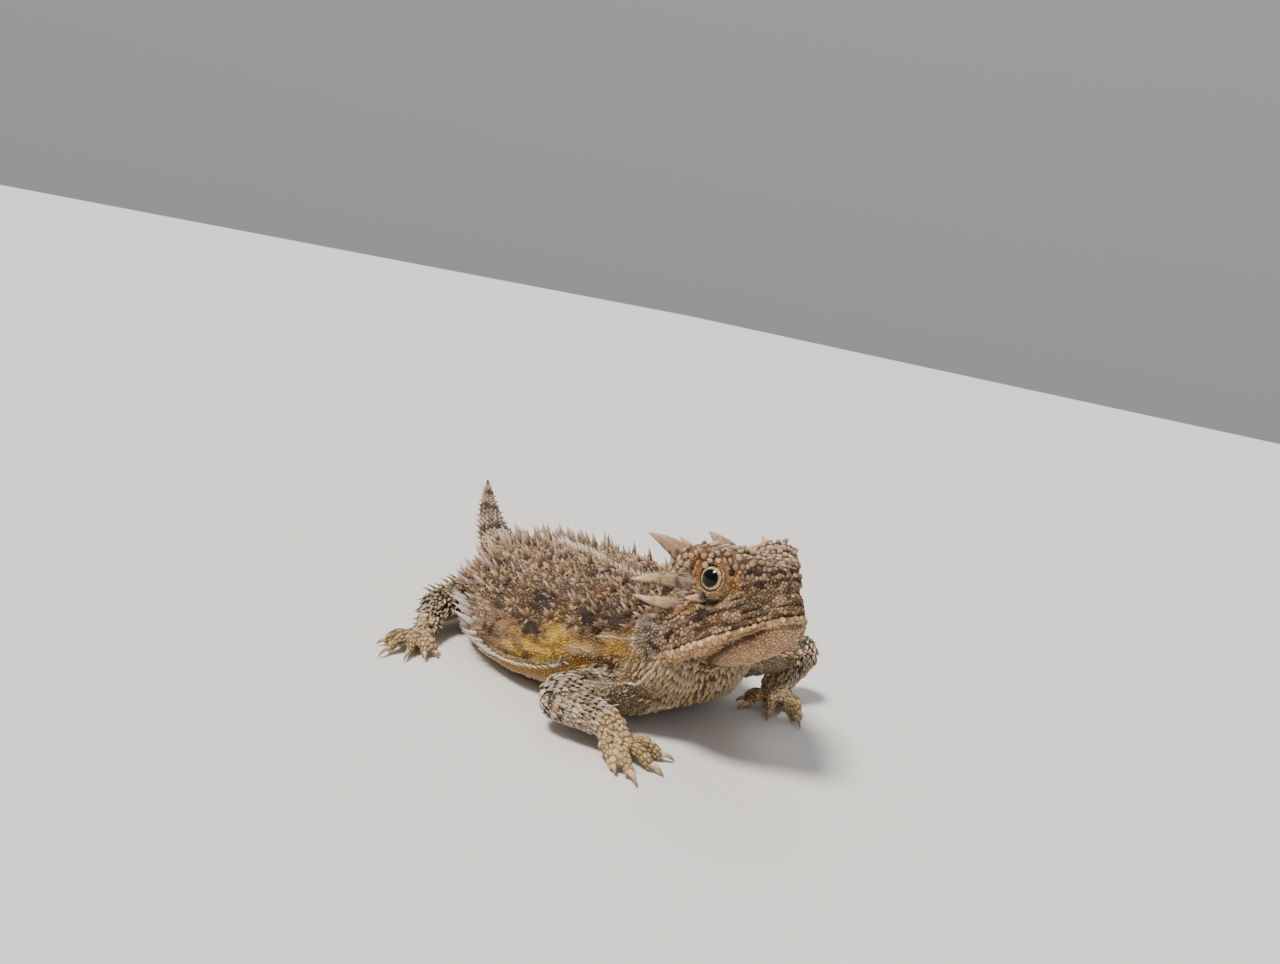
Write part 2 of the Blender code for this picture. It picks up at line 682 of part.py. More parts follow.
def make_horns(finishes, empty):
    horns = []
    for side, sign in SIDES.items():
        plans = (
            ("horn_occipital_", (1.2, 4.4, 5.4), (-9.4, 6.9, 12.8), 2.6, 7, 0.05),
            ("horn_temporal_a_", (4.6, 8.4, 3.0), (-3.4, 15.4, 4.4), 1.9, 6, 0.04),
            ("horn_temporal_b_", (4.0, 9.8, -1.4), (-1.8, 16.4, 1.6), 1.6, 6, -0.10),
            ("horn_temporal_c_", (8.0, 7.6, 0.6), (5.4, 12.2, 0.6), 1.1, 6, -0.05),
            ("horn_brow_", (6.0, 7.4, 6.4), (3.0, 9.2, 11.0), 1.3, 5, 0.05),
        )
        for name, root, tip, radius, sides, bend in plans:
            root = (root[0], root[1] * sign, root[2])
            tip = (tip[0], tip[1] * sign, tip[2])
            horns.append(spike(name + side, root, tip, radius, finishes["horn"], sides, bend, empty, 3))
    return horns


def tail_row(share):
    """The tail's middle, half width, half height and direction a share of the way along it."""
    rows = [(k / (len(TAIL) - 1), *station) for k, station in enumerate(TAIL)]
    x, y, z, width, height = cubic(rows, share)
    before, after = cubic(rows, max(share - 0.04, 0.0)), cubic(rows, min(share + 0.04, 1.0))
    run = (Vector(after[:3]) - Vector(before[:3])).normalized()
    return x, y, z, width, height, run


def tail_ring(share, shift=0.0):
    x, y, z, width, height, run = tail_row(share)
    if share == 0:
        run = Vector((-1, 0, 0))
    side = run.cross(UP).normalized()
    return ring_at(Vector((x, y, z)) + run * shift, side, side.cross(run), width, height, TAIL_SIDES)


def make_tail(finish):
    """Two lengths of tail, parted where it starts to thin."""
    cuts = [TAIL_BREAK * k / 4 for k in range(5)]
    base_rings = [tail_ring(share, GAP if share == 0 else 0.0) for share in cuts]
    base = skinned("tail_base", base_rings, centre_of(base_rings[0]), centre_of(base_rings[-1]), finish)
    cuts = [TAIL_BREAK + (1 - TAIL_BREAK) * k / 6 for k in range(7)]
    tip_rings = [tail_ring(share, GAP if k == 0 else 0.0) for k, share in enumerate(cuts)]
    end = centre_of(tip_rings[-1]) + tail_row(1.0)[5] * 0.8 * MM
    tip = skinned("tail_tip", tip_rings, centre_of(tip_rings[0]), end, finish)
    return base, tip


def make_digits(side, palm_end, turn, plan, size, finishes):
    """Digits with claws from the end of a palm or sole, as planned."""
    pieces = []
    sign = SIDES[side]
    heading = math.radians(turn)
    across = Vector((-math.sin(heading), math.cos(heading), 0)) * -sign
    for outwards, inwards, reach in plan:
        angle = heading + math.radians(inwards) * -sign
        out = ahead(math.degrees(angle))
        root = Vector((palm_end[0], palm_end[1], size * 1.9)) + across * -outwards - out * 1.2
        knuckle = root + out * (reach * 0.36 + 1.2)
        knuckle.z = size * 2.3
        end = root + out * (reach * 0.68 + 1.2)
        end.z = size * 0.75
        widths = (size * 1.05, size * 1.1, size * 0.85)
        pieces.append(limb("digit", (root, knuckle, end), widths, widths, finishes["foot"], 6, 2))
        tip = root + out * (reach + 1.2)
        tip.z = 0.2
        root = end - out * 0.5 + UP * 0.15
        pieces.append(spike("claw", root, tip, size * 0.62, finishes["foot"], 5, 0.14))
    return pieces


def ahead(turn):
    return Vector((math.cos(math.radians(turn)), math.sin(math.radians(turn)), 0))


def flatten_feet(obj):
    """Presses what would reach through the floor flat onto it."""
    for vertex in obj.data.vertices:
        where = obj.matrix_world @ vertex.co
        if where.z < 0:
            vertex.co.z -= where.z


def make_foreleg(side, finishes, body):
    skin = finishes["leg"]
    upper = limb("upper_arm_" + side, (SHOULDER[side], ELBOW[side]), (4.7, 3.9), (4.6, 3.8), skin)
    fore = limb("forearm_" + side, (ELBOW[side], WRIST[side]), (3.9, 2.9), (3.8, 2.5), skin, steps=4)
    heading = ahead(HAND_TURN[side])
    wrist = Vector(WRIST[side])
    palm_end = wrist + heading * 3.0
    palm_end.z = 1.8
    hand = limb("hand_" + side, (wrist - heading * 1.0, palm_end), (2.7, 3.3), (2.4, 2.0), finishes["foot"])
    join(hand, make_digits(side, palm_end, HAND_TURN[side], FINGERS, 1.1, finishes))
    for piece in (upper, fore, hand):
        flatten_feet(piece)
    clear_of(upper, *body)
    clear_of(fore, upper, *body)
    clear_of(hand, fore)
    return upper, fore, hand


def make_hindleg(side, finishes, body):
    thigh = limb("thigh_" + side, (HIP[side], KNEE[side]), (5.0, 3.5), (4.6, 3.4), finishes["leg"])
    shank = limb(
        "shank_" + side, (KNEE[side], ANKLE[side]), (3.1, 2.3), (3.0, 2.2), finishes["leg"], ends=(0.3, 0.75)
    )
    heading = ahead(FOOT_TURN[side])
    ankle = Vector(ANKLE[side])
    sole_end = ankle + heading * 4.0
    sole_end.z = 1.5
    foot = limb("foot_" + side, (ankle - heading * 1.0, sole_end), (2.4, 2.8), (2.2, 1.7), finishes["foot"])
    join(foot, make_digits(side, sole_end, FOOT_TURN[side], TOES, 1.0, finishes))
    for piece in (thigh, shank, foot):
        flatten_feet(piece)
    clear_of(thigh, *body)
    clear_of(shank, thigh, *body)
    clear_of(foot, shank)
    return thigh, shank, foot


def make_lizard():
    finishes = {
        "back": material("back_skin", (0.36, 0.27, 0.18), 0.85),
        "head": material("head_skin", (0.42, 0.33, 0.25), 0.8),
        "throat": material("throat_skin", (0.55, 0.44, 0.32), 0.8),
        "leg": material("leg_skin", (0.34, 0.27, 0.20), 0.85),
        "foot": material("foot_skin", (0.62, 0.50, 0.30), 0.75),
        "horn": material("horn", (0.55, 0.43, 0.33), 0.6),
        "eye": material("eye", (0.03, 0.025, 0.02), 0.15),
    }
    empty = bpy.data.objects.new("head_frame", None)
    empty.location = mm(HEAD_PLACE)
    turn = Matrix.Rotation(math.radians(HEAD_YAW), 3, "Z")
    turn = turn @ Matrix.Rotation(math.radians(-HEAD_PITCH), 3, "Y")
    empty.rotation_euler = (turn @ Matrix.Rotation(math.radians(HEAD_ROLL), 3, "X")).to_euler()
    bpy.context.scene.collection.objects.link(empty)
    bpy.context.view_layer.update()
    torso = make_trunk(finishes["back"])
    head, jaw, eyes = make_head(finishes, empty)
    horns = make_horns(finishes, empty)
    for horn in horns:
        clear_of(horn, head)
    neck = make_neck(finishes["back"], empty)
    clear_of(neck, head, jaw, *horns)
    tail = make_tail(finishes["back"])
    limbs = {}
    for side in SIDES:
        limbs[side] = make_foreleg(side, finishes, (torso, neck)) + make_hindleg(side, finishes, (torso,))
    nodes = [torso, head, jaw, neck, *tail, *eyes, *horns, *limbs["R"], *limbs["L"]]
    grow_spines(nodes, torso, head, jaw, neck, tail, limbs, empty)


def grow_spines(nodes, torso, head, jaw, neck, tail, limbs, empty):
    """Fuses each node's spines into it, one node after another, each clear of what is there by then."""
    rng = random.Random(SEED)

    def thorns_of(node):
        return Thorns(node, [other for other in nodes if other is not node], node.data.materials[0])

    back = thorns_of(torso)
    back_spines(back, rng)
    fringe(back, rng)
    back.grow()
    nape = thorns_of(neck)
    neck_spines(nape, rng)
    nape.grow()
    on_head, on_jaw = thorns_of(head), thorns_of(jaw)
    head_spines(on_head, on_jaw, empty, rng)
    on_head.grow()
    on_jaw.grow()
    base, tip = thorns_of(tail[0]), thorns_of(tail[1])
    tail_spines(base, tip, rng)
    base.grow()
    tip.grow()
    for side, (upper, fore, _, thigh, shank, _) in limbs.items():
        for node, start, end, width, rows, length in (
            (upper, SHOULDER[side], ELBOW[side], (4.6, 3.8), (20, 160), 1.7),
            (fore, ELBOW[side], WRIST[side], (3.8, 2.7), (0, 60, 120, 180), 1.6),
            (thigh, HIP[side], KNEE[side], (4.8, 3.4), (0, 45, 90, 135, 180), 2.4),
            (shank, KNEE[side], ANKLE[side], (3.2, 2.2), (15, 90, 165), 1.6),
        ):
            scales = thorns_of(node)
            limb_spines(scales, start, end, width, rows, length, rng)
            scales.grow()


def clear_scene():
    for obj in list(bpy.data.objects):
        bpy.data.objects.remove(obj)


clear_scene()
make_lizard()
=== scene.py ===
"""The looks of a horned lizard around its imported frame: skin, scales, spines, horns, eyes and claws.

Lengths are written in millimetres and turned into metres by MM. The shapes follow the same named tables as
the solids: one skin replaces all nodes of flesh, and thousands of small solid scales stand on it.
"""

import math

import bmesh
import bpy
import numpy as np
from mathutils import Matrix, Vector
from mathutils.bvhtree import BVHTree
from mathutils.kdtree import KDTree


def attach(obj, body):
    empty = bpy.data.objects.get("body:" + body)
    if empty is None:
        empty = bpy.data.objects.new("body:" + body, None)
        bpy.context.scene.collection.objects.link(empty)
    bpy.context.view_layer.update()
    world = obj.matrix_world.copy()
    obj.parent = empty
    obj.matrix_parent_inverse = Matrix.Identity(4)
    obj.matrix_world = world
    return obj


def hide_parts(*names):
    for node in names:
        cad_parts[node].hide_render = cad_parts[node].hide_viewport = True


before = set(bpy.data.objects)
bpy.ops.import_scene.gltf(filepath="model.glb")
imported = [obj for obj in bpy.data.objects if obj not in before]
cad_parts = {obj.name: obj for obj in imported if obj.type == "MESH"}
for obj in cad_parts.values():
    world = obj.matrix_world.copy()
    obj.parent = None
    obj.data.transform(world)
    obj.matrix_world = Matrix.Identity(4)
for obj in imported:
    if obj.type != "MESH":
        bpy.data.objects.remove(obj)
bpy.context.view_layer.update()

MM = 0.001
SEED = 11
SIDES = {"R": -1.0, "L": 1.0}
UP = Vector((0, 0, 1))
FLAT = np.array((1, 0, 1))  # drops the sideways part of a point

# Shape tables, as in the solids.
TRUNK_FRONT, TRUNK_REAR = 22.0, -36.0
EYE_RADIUS = 2.75
HEAD_PLACE = (28.7, -5.3, 24.5)
HEAD_YAW, HEAD_PITCH, HEAD_ROLL = -10.0, 23.0, 2.5

# Trunk: x, middle y, half width, top of the back, height of the widest line, underside.
TRUNK = (
    (-37.0, 0.0, 6.6, 13.6, 9.0, 4.8),
    (-31.0, -0.3, 13.2, 16.6, 7.6, 1.0),
    (-22.0, -1.2, 21.0, 18.8, 6.4, -0.5),
    (-10.0, -2.0, 25.6, 20.3, 6.2, -0.9),
    (2.0, -2.4, 25.8, 21.2, 7.0, -0.7),
    (11.0, -2.9, 22.6, 21.8, 9.0, 0.5),
    (18.0, -3.4, 18.6, 22.5, 11.2, 1.3),
    (22.0, -3.8, 16.2, 23.2, 12.4, 2.1),
)
SQUARENESS = (2.25, 3.2)

# Neck: lean of its cross section, then middle x, y, z, half width, rise and drop.
NECK = (
    (0.0, 22.0, -3.8, 12.4, 16.2, 10.8, 10.3),
    (12.0, 25.0, -4.3, 14.2, 15.6, 11.0, 10.6),
    (24.0, 27.2, -4.8, 17.0, 13.4, 11.2, 9.9),
    (26.0, 29.5, -5.4, 20.5, 11.2, 8.6, 9.0),
    (23.0, 32.0, -5.9, 23.4, 8.8, 6.4, 7.0),
)
EAR_FOLD, EAR_FOLD_RADIUS = (-2.6, 11.6, -5.4), 3.4

# Head, in its own frame: x, crown, then half width and height of brow, orbit, lip and jaw edge, and chin.
HEAD = (
    (-2.4, 6.4, 8.2, 5.4, 9.8, 0.8, 10.6, -5.4, 9.6, -9.2, -11.2),
    (1.0, 7.6, 9.6, 6.6, 11.4, 2.0, 12.2, -5.4, 11.2, -9.4, -11.6),
    (5.0, 8.4, 9.3, 8.4, 9.8, 3.4, 11.6, -4.8, 11.2, -8.8, -11.2),
    (9.5, 8.2, 8.7, 8.6, 7.9, 3.4, 10.0, -4.4, 9.9, -7.8, -10.2),
    (13.5, 7.4, 6.6, 7.2, 6.5, 2.6, 7.4, -3.6, 6.8, -6.7, -8.9),
    (16.8, 6.0, 4.0, 5.5, 4.4, 1.5, 4.7, -2.8, 4.2, -5.6, -7.6),
    (19.0, 4.2, 2.2, 3.8, 2.7, 0.8, 2.9, -2.2, 2.6, -4.7, -6.2),
)
SNOUT_TIP, NAPE_END = (20.1, 0.0, -0.9), (-3.4, 0.0, -2.4)
MOUTH_LINE = ((-6.0, -9.8), (-1.0, -8.8), (4.0, -7.3), (9.0, -5.9), (14.0, -4.6), (18.0, -3.4), (24.0, -2.3))
# How far below the mouth's line the hollow under the jaw's band runs, by x.
HOLLOW_DROP = ((3.0, -2.7), (9.0, -2.5), (13.0, -1.75), (17.0, -1.3), (19.0, -1.2))
NOSTRIL = (18.4, 3.5, 2.3)
EYE_PLACE, EYE_AXIS = (9.6, 7.0, 3.4), (0.30, 0.92, 0.16)

# Horns in the head's frame: name, root, tip, radius, how far the middle bends up.
HORNS = (
    ("occipital", (1.2, 4.4, 5.4), (-9.4, 6.9, 12.8), 2.6, 0.05),
    ("temporal_a", (4.6, 8.4, 3.0), (-3.4, 15.4, 4.4), 1.9, 0.04),
    ("temporal_b", (3.8, 9.5, -0.4), (-1.8, 16.2, 1.9), 1.6, -0.05),
    ("temporal_c", (7.6, 8.0, 0.6), (6.2, 11.4, 0.8), 1.25, -0.05),
    ("brow", (6.0, 7.4, 6.4), (3.0, 9.2, 11.0), 1.3, 0.05),
)

# Tail, from root to tip: x, y, z, half width, half height.
TAIL = (
    (-36.0, 0.0, 9.0, 6.9, 4.4),
    (-41.0, 0.5, 9.6, 5.6, 3.8),
    (-51.0, 3.6, 11.2, 3.9, 2.7),
    (-62.0, 9.0, 13.2, 2.6, 1.9),
    (-71.0, 14.0, 15.4, 1.5, 1.2),
    (-76.5, 17.2, 17.0, 0.55, 0.5),
)

# Limb joints, and the turn of hands and feet.
SHOULDER = {"R": (23.6, -11.0, 6.8), "L": (22.0, 6.0, 9.6)}
ELBOW = {"R": (20.0, -29.4, 5.8), "L": (25.6, 28.4, 9.6)}
WRIST = {"R": (29.2, -24.8, 4.4), "L": (26.0, 21.8, 3.3)}
HAND_TURN = {"R": -3.0, "L": -38.0}
HIP = {"R": (-28.5, -8.5, 8.0), "L": (-28.5, 8.5, 8.0)}
KNEE = {"R": (-23.4, -27.6, 4.4), "L": (-22.4, 27.6, 5.0)}
ANKLE = {"R": (-18.6, -31.8, 2.5), "L": (-22.6, 35.8, 2.6)}
FOOT_TURN = {"R": -56.0, "L": 38.0}

# Digits, from the outermost: shift outwards on the palm, turn inwards in degrees, reach with the claw.
FINGERS = ((2.8, -16.0, 5.0), (1.2, -12.0, 9.0), (-0.6, 20.0, 8.2), (-2.2, 54.0, 7.8), (-2.8, 84.0, 5.4))
TOES = ((2.4, -40.0, 5.6), (1.2, -10.0, 9.4), (0.0, 12.0, 8.2), (-1.2, 34.0, 6.4), (-2.2, 58.0, 4.4))

# Limbs: names, joints and turn, then half widths and heights of the two lengths and the palm, the palm's
# reach and height at its front, and the digits with their radius and name.
LIMBS = (
    (("upper_arm", "forearm", "palm"), (SHOULDER, ELBOW, WRIST), HAND_TURN, ((4.7, 3.9), (3.9, 2.9), (2.7, 3.3)),
     ((4.6, 3.8), (3.8, 2.5), (2.4, 2.0)), 3.0, 1.8, FINGERS, 1.1, "finger"),
    (("thigh", "shank", "sole"), (HIP, KNEE, ANKLE), FOOT_TURN, ((5.0, 3.5), (3.1, 2.3), (2.4, 2.8)),
     ((4.6, 3.4), (3.0, 2.2), (2.2, 1.7)), 4.0, 1.5, TOES, 1.0, "toe"),
)


def colour(red, green, blue):
    """A colour written as 0 to 255 on screen, as linear light."""
    return tuple((c / 255 / 12.92) if c < 10 else ((c / 255 + 0.055) / 1.055) ** 2.4 for c in (red, green, blue))


TAN, PINK_GREY = colour(152, 128, 102), colour(168, 142, 126)
DARK, ORANGE = colour(62, 46, 38), colour(178, 124, 62)
MUSTARD, YELLOW = colour(196, 154, 58), colour(240, 200, 78)
WHITE, IVORY, CREAM = colour(226, 216, 202), colour(206, 188, 164), colour(200, 176, 144)
WARMTH = np.array((1.05, 0.97, 0.80))

# Root and tip of the horns.
HORN_TONES = {
    "occipital": (colour(136, 108, 90), colour(184, 154, 130)),
    "temporal_a": (colour(128, 106, 92), colour(214, 192, 162)),
    "temporal_b": (colour(128, 106, 92), colour(214, 192, 162)),
    "temporal_c": (colour(176, 142, 122), colour(212, 184, 164)),
    "brow": (colour(176, 122, 84), colour(226, 176, 132)),
}


# small maths


def cubic(table, at):
    """The row of the table at a value of its first column, on a smooth curve through the rows."""
    last = len(table) - 1
    k = sum(at > row[0] for row in table[1:last])
    before, low, high, after = (np.array(table[min(max(k + j, 0), last)], float) for j in (-1, 0, 1, 2))
    span = high[0] - low[0]
    t = (at - low[0]) / span
    rise_in = (high - before) / (high[0] - before[0]) * span
    rise_out = (after - low) / (after[0] - low[0]) * span
    row = low * (2 * t**3 - 3 * t**2 + 1) + rise_in * (t**3 - 2 * t**2 + t)
    return (row + high * (3 * t**2 - 2 * t**3) + rise_out * (t**3 - t**2))[1:].tolist()


def along(table, at):
    """Columns of the table at many values of its first column, as arrays."""
    keys = np.linspace(table[0][0], table[-1][0], 80)
    rows = np.array([cubic(table, key) for key in keys])
    return [np.interp(at, keys, column) for column in rows.T]


def keyed(rows):
    """The rows with their share of the way from first to last before them."""
    return [(k / (len(rows) - 1), *row) for k, row in enumerate(rows)]


def line_at(table, at):
    """The second column of the table at values of the first, on straight lines."""
    return np.interp(at, [row[0] for row in table], [row[1] for row in table])


def between(values, k, t):
    return values[k] * (1 - t) + values[k + 1] * t


def unit(vectors):
    return vectors / np.maximum(np.linalg.norm(vectors, axis=-1, keepdims=True), 1e-9)


def smooth_step(low, high, value):
    t = np.clip((value - low) / (high - low), 0, 1)
    return t * t * (3 - 2 * t)


def bump(distance, width):
    return np.exp(-((distance / width) ** 2))


def mixed(first, second, share):
    """Colours between two others, a share of the way for each point."""
    share = np.asarray(share)[..., None]
    return np.asarray(first) * (1 - share) + np.asarray(second) * share


class Noise:
    """Smooth random values through space."""

    def __init__(self, seed, cells=20):
        self.cells = cells
        self.table = np.random.default_rng(seed).random((cells, cells, cells))

    def at(self, points, size):
        spot = np.asarray(points) / size
        low = np.floor(spot).astype(int)
        t = spot - low
        t = t * t * (3 - 2 * t)
        low, high = low % self.cells, (low + 1) % self.cells
        total = 0
        for corner in range(8):
            pick = [(high if corner >> axis & 1 else low)[:, axis] for axis in range(3)]
            share = [t[:, axis] if corner >> axis & 1 else 1 - t[:, axis] for axis in range(3)]
            total = total + self.table[tuple(pick)] * share[0] * share[1] * share[2]
        return total


NOISE = Noise(SEED)
RNG = np.random.default_rng(SEED)


def patches(points, low, high, size, shift=0.0):
    """Random patches of a size: 0 where the noise is short of low, 1 where it is past high."""
    return smooth_step(low, high, NOISE.at(points + shift, size))


def sway(points, size, reach, shift=0.0):
    """Noise of a size round zero."""
    return (NOISE.at(points + shift, size) - 0.5) * reach


HEAD_TURN = (
    Matrix.Rotation(math.radians(HEAD_YAW), 3, "Z")
    @ Matrix.Rotation(math.radians(-HEAD_PITCH), 3, "Y")
    @ Matrix.Rotation(math.radians(HEAD_ROLL), 3, "X")
)
HEAD_AXES = np.array(HEAD_TURN)


def from_head(points):
    return np.asarray(points, float) @ HEAD_AXES.T + np.array(HEAD_PLACE)


def to_head(points):
    return (np.asarray(points, float) - np.array(HEAD_PLACE)) @ HEAD_AXES


def one_sided(head):
    """Points of the head's frame, all on its left side."""
    return head * FLAT + np.abs(head) * (1 - FLAT)


def mirrors():
    """For each side of the body its letter, its sign and the mirror of points on the left."""
    return [(side, sign, np.array((1, sign, 1))) for side, sign in SIDES.items()]


def circle(count, turn=0.0):
    return np.arange(count) * 2 * math.pi / count + turn


# forms


def tube_faces(rows, count):
    """Quads between the rows of points round a tube."""
    low = np.arange(rows * count).reshape(rows, count)[:-1]
    after = np.roll(low, -1, 1)
    return np.stack([low, after, after + count, low + count], 2).reshape(-1, 4)


def closed_tube(rings, tips):
    """Points and faces of a tube through rings, closed with a point at each end."""
    rows, count = len(rings), len(rings[0])
    faces = tube_faces(rows, count).tolist()
    first, base = rows * count, (rows - 1) * count
    for k in range(count):
        after = (k + 1) % count
        faces += [(first, after, k), (first + 1, base + k, base + after)]
    return np.concatenate([*rings, np.array(tips)]), faces


class Form:
    """A loft through sections. Any point is placed on it by its share of the way and its turn round it."""

    def __init__(self, name, sections, square=(2.0, 2.0), sides=24, caps=(0.75, 0.75)):
        """A section has its middle, side and up vectors, half width, rise and drop."""
        self.name, self.square, self.sides, self.caps = name, square, sides, caps
        self.middle, side, up = (np.array([s[k] for s in sections], float) for k in range(3))
        self.side, self.up = unit(side), unit(up)
        self.reach = np.array([s[3:6] for s in sections], float)

    def outline(self, angle, reach):
        """How far sideways and upwards the surface lies at angles round sections of the reach."""
        across, over = np.cos(angle), np.sin(angle)
        power = np.where(over > 0, 2 / self.square[0], 2 / self.square[1])
        across, over = (np.sign(v) * np.abs(v) ** power for v in (across, over))
        height = np.where(over > 0, reach[..., 1], reach[..., 2]) * over
        return (reach[..., 0] * across)[..., None], height[..., None]

    def shape(self):
        """Points and faces of the closed loft, with a rounded end at each side."""
        width, height = self.outline(circle(self.sides), self.reach[:, None])
        rings = list(self.middle[:, None] + width * self.side[:, None] + height * self.up[:, None])
        tips = []
        for end, inner, cap in ((0, 1, self.caps[0]), (-1, -2, self.caps[1])):
            middle, base = self.middle[end], rings[end]
            way = unit(middle - self.middle[inner]) * self.reach[end, 1] * cap
            tips.append(middle + way)
            extra = [middle + (base - middle) * math.sqrt(1 - s * s) + way * s for s in (0.45, 0.82) if cap]
            rings = extra[::-1] + rings if end == 0 else rings + extra
        return closed_tube(rings, tips)

    def locate(self, points):
        """For each point: share of the way, turn in degrees from the side vector, and direction of the run."""
        start, run = self.middle[:-1], np.diff(self.middle, axis=0)
        best, share, index = np.full(len(points), 1e18), np.zeros(len(points)), np.zeros(len(points), int)
        for k, (origin, way) in enumerate(zip(start, run)):
            t = np.clip(((points - origin) @ way) / (way**2).sum(), 0, 1)
            distance = ((points - origin - t[:, None] * way) ** 2).sum(1)
            closer = distance < best
            best[closer], share[closer], index[closer] = distance[closer], t[closer], k
        t = share[:, None]
        side, up, reach = (between(v, index, t) for v in (self.side, self.up, self.reach))
        arm = points - (start[index] + run[index] * t)
        over = (arm * up).sum(1)
        over = over / np.where(over > 0, reach[:, 1], reach[:, 2])
        turn = np.degrees(np.arctan2(over, (arm * side).sum(1) / reach[:, 0]))
        return (index + share) / len(start), turn, unit(run[index])

    def spot(self, share, turn, out=1.0):
        """Points at shares and turns, out times as far off the middle as the surface, and their arms."""
        at = np.clip(np.asarray(share) * (len(self.middle) - 1), 0, len(self.middle) - 1.001)
        k = at.astype(int)
        t = (at - k)[:, None]
        middle, side, up, reach = (between(v, k, t) for v in (self.middle, self.side, self.up, self.reach))
        width, height = self.outline(np.radians(turn), reach)
        arm = side * width + up * height
        return middle + arm * out, arm


def trunk_form():
    sections = []
    for x in np.linspace(TRUNK_FRONT + 0.5, TRUNK_REAR, 40):
        middle_y, half_width, top, widest, low = cubic(TRUNK, min(x, TRUNK_FRONT))
        sections.append(((x, middle_y, widest), (0, 1, 0), (0, 0, 1), half_width, top - widest, widest - low))
    return Form("trunk", sections, SQUARENESS, 64, (0, 0))


def neck_form():
    sections = []
    for share in np.linspace(1, -0.08, 20):
        lean, x, y, z, half_width, rise, drop = cubic(keyed(NECK), share)
        up = Matrix.Rotation(math.radians(-lean), 3, "Y") @ UP
        sections.append(((x, y, z), (0, 1, 0), tuple(up), half_width, rise, drop))
    return Form("neck", sections, SQUARENESS, 48, (0, 0))


def round_section(spot, behind, ahead):
    """A section at a spot of x, y, z, half width and half height, across the way from behind to ahead."""
    run = (Vector(ahead[:3]) - Vector(behind[:3])).normalized()
    side = run.cross(UP).normalized()
    return (spot[:3], tuple(side), tuple(side.cross(run)), spot[3], spot[4], spot[4])


def tail_form():
    rows, ease, sections = keyed(TAIL), 0.04, []
    for share in np.linspace(-0.06, 1, 44):
        ends = (cubic(rows, max(share - ease, 0)), cubic(rows, min(max(share, 0) + ease, 1)))
        sections.append(round_section(cubic(rows, share), *ends))
    return Form("tail", sections, (2.0, 2.0), 28, (0, 1.2))


def limb_form(name, joints, widths, heights, sides=20, steps=10):
    rows = keyed([(*joint, width, height) for joint, width, height in zip(joints, widths, heights)])
    count = (len(joints) - 1) * steps
    spots = [cubic(rows, k / count) for k in range(count + 1)]
    sections = [round_section(spot, spots[max(k - 1, 0)], spots[min(k + 1, count)]) for k, spot in enumerate(spots)]
    return Form(name, sections, (2.0, 2.0), sides)


def head_ring(x, per_side):
    """A closed outline across the head through its named heights and half widths, in the head's frame."""
    crown, *edges, chin = cubic(HEAD, x)
    half = [(0.0, crown), *zip(edges[::2], edges[1::2]), (0.0, chin)]
    start = np.array(half + [(-y, z) for y, z in half[-2:0:-1]])[:, None]
    before, end, after = (np.roll(start, -step, 0) for step in (-1, 1, 2))
    t = (np.arange(per_side) / per_side)[:, None]
    curve = (start * 2 + (end - before) * t + (before * 2 - start * 5 + end * 4 - after) * t**2
             + (start * 3 - before - end * 3 + after) * t**3) / 2
    curve = curve.reshape(-1, 2)
    return np.concatenate([np.full((len(curve), 1), x), curve], 1)


class HeadForm(Form):
    """The head: its loft runs through the outlines, its middle line through the skull from snout to nape."""

    def __init__(self):
        sections = []
        for x in np.linspace(SNOUT_TIP[0], NAPE_END[0], 24):
            row = cubic(HEAD, min(max(x, HEAD[0][0]), HEAD[-1][0]))
            crown, orbit_width, lip_width, chin = row[0], row[3], row[5], row[9]
            reach = (max(orbit_width, lip_width), crown + 1.0, -1.0 - chin)
            sections.append((from_head((x, 0, -1.0)), HEAD_AXES[:, 1], HEAD_AXES[:, 2], *reach))
        super().__init__("head", sections, (2.4, 2.4), 32, (0, 0))

    def shape(self):
        rings = [from_head(head_ring(x, 7)) for x in np.linspace(HEAD[0][0], HEAD[-1][0], 48)]
        return closed_tube(rings, from_head([NAPE_END, SNOUT_TIP]))


def heading(turn):
    return np.array((math.cos(math.radians(turn)), math.sin(math.radians(turn)), 0.0))


def digit_forms(side, palm_end, turn, plan, size, name):
    """Forms of the digits, and for each the root, tip and radius of its claw."""
    forms, claws = [], []
    sign, sunk = SIDES[side], 1.2
    across = heading(turn + 90) * -sign
    for number, (outwards, inwards, reach) in enumerate(plan):
        out = heading(turn - inwards * sign)
        root = np.array((palm_end[0], palm_end[1], size * 1.9)) - across * outwards - out * sunk
        knuckle, end, tip = (root + out * (reach * share + sunk) for share in (0.36, 0.68, 1.0))
        knuckle[2], end[2], tip[2] = size * 2.2, size * 0.8, 0.25
        widths = (size * 0.95, size * 0.98, size * 0.72)
        forms.append(limb_form(f"{name}_{side}_{number}", (root, knuckle, end), widths, widths, 14, 5))
        claws.append((end - out * 0.3 + np.array((0, 0, 0.2)), tip, size * 0.52))
    return forms, claws


def ball_shape(middle, radius, segments=24, rings=14):
    shape = bmesh.new()
    bmesh.ops.create_uvsphere(shape, u_segments=segments, v_segments=rings, radius=radius)
    points = np.array([tuple(v.co) for v in shape.verts]) + np.asarray(middle)
    faces = [tuple(v.index for v in f.verts) for f in shape.faces]
    shape.free()
    return points, faces


def facing_matrix(axis):
    return np.array(Vector(axis).normalized().to_track_quat("Z", "Y").to_matrix())


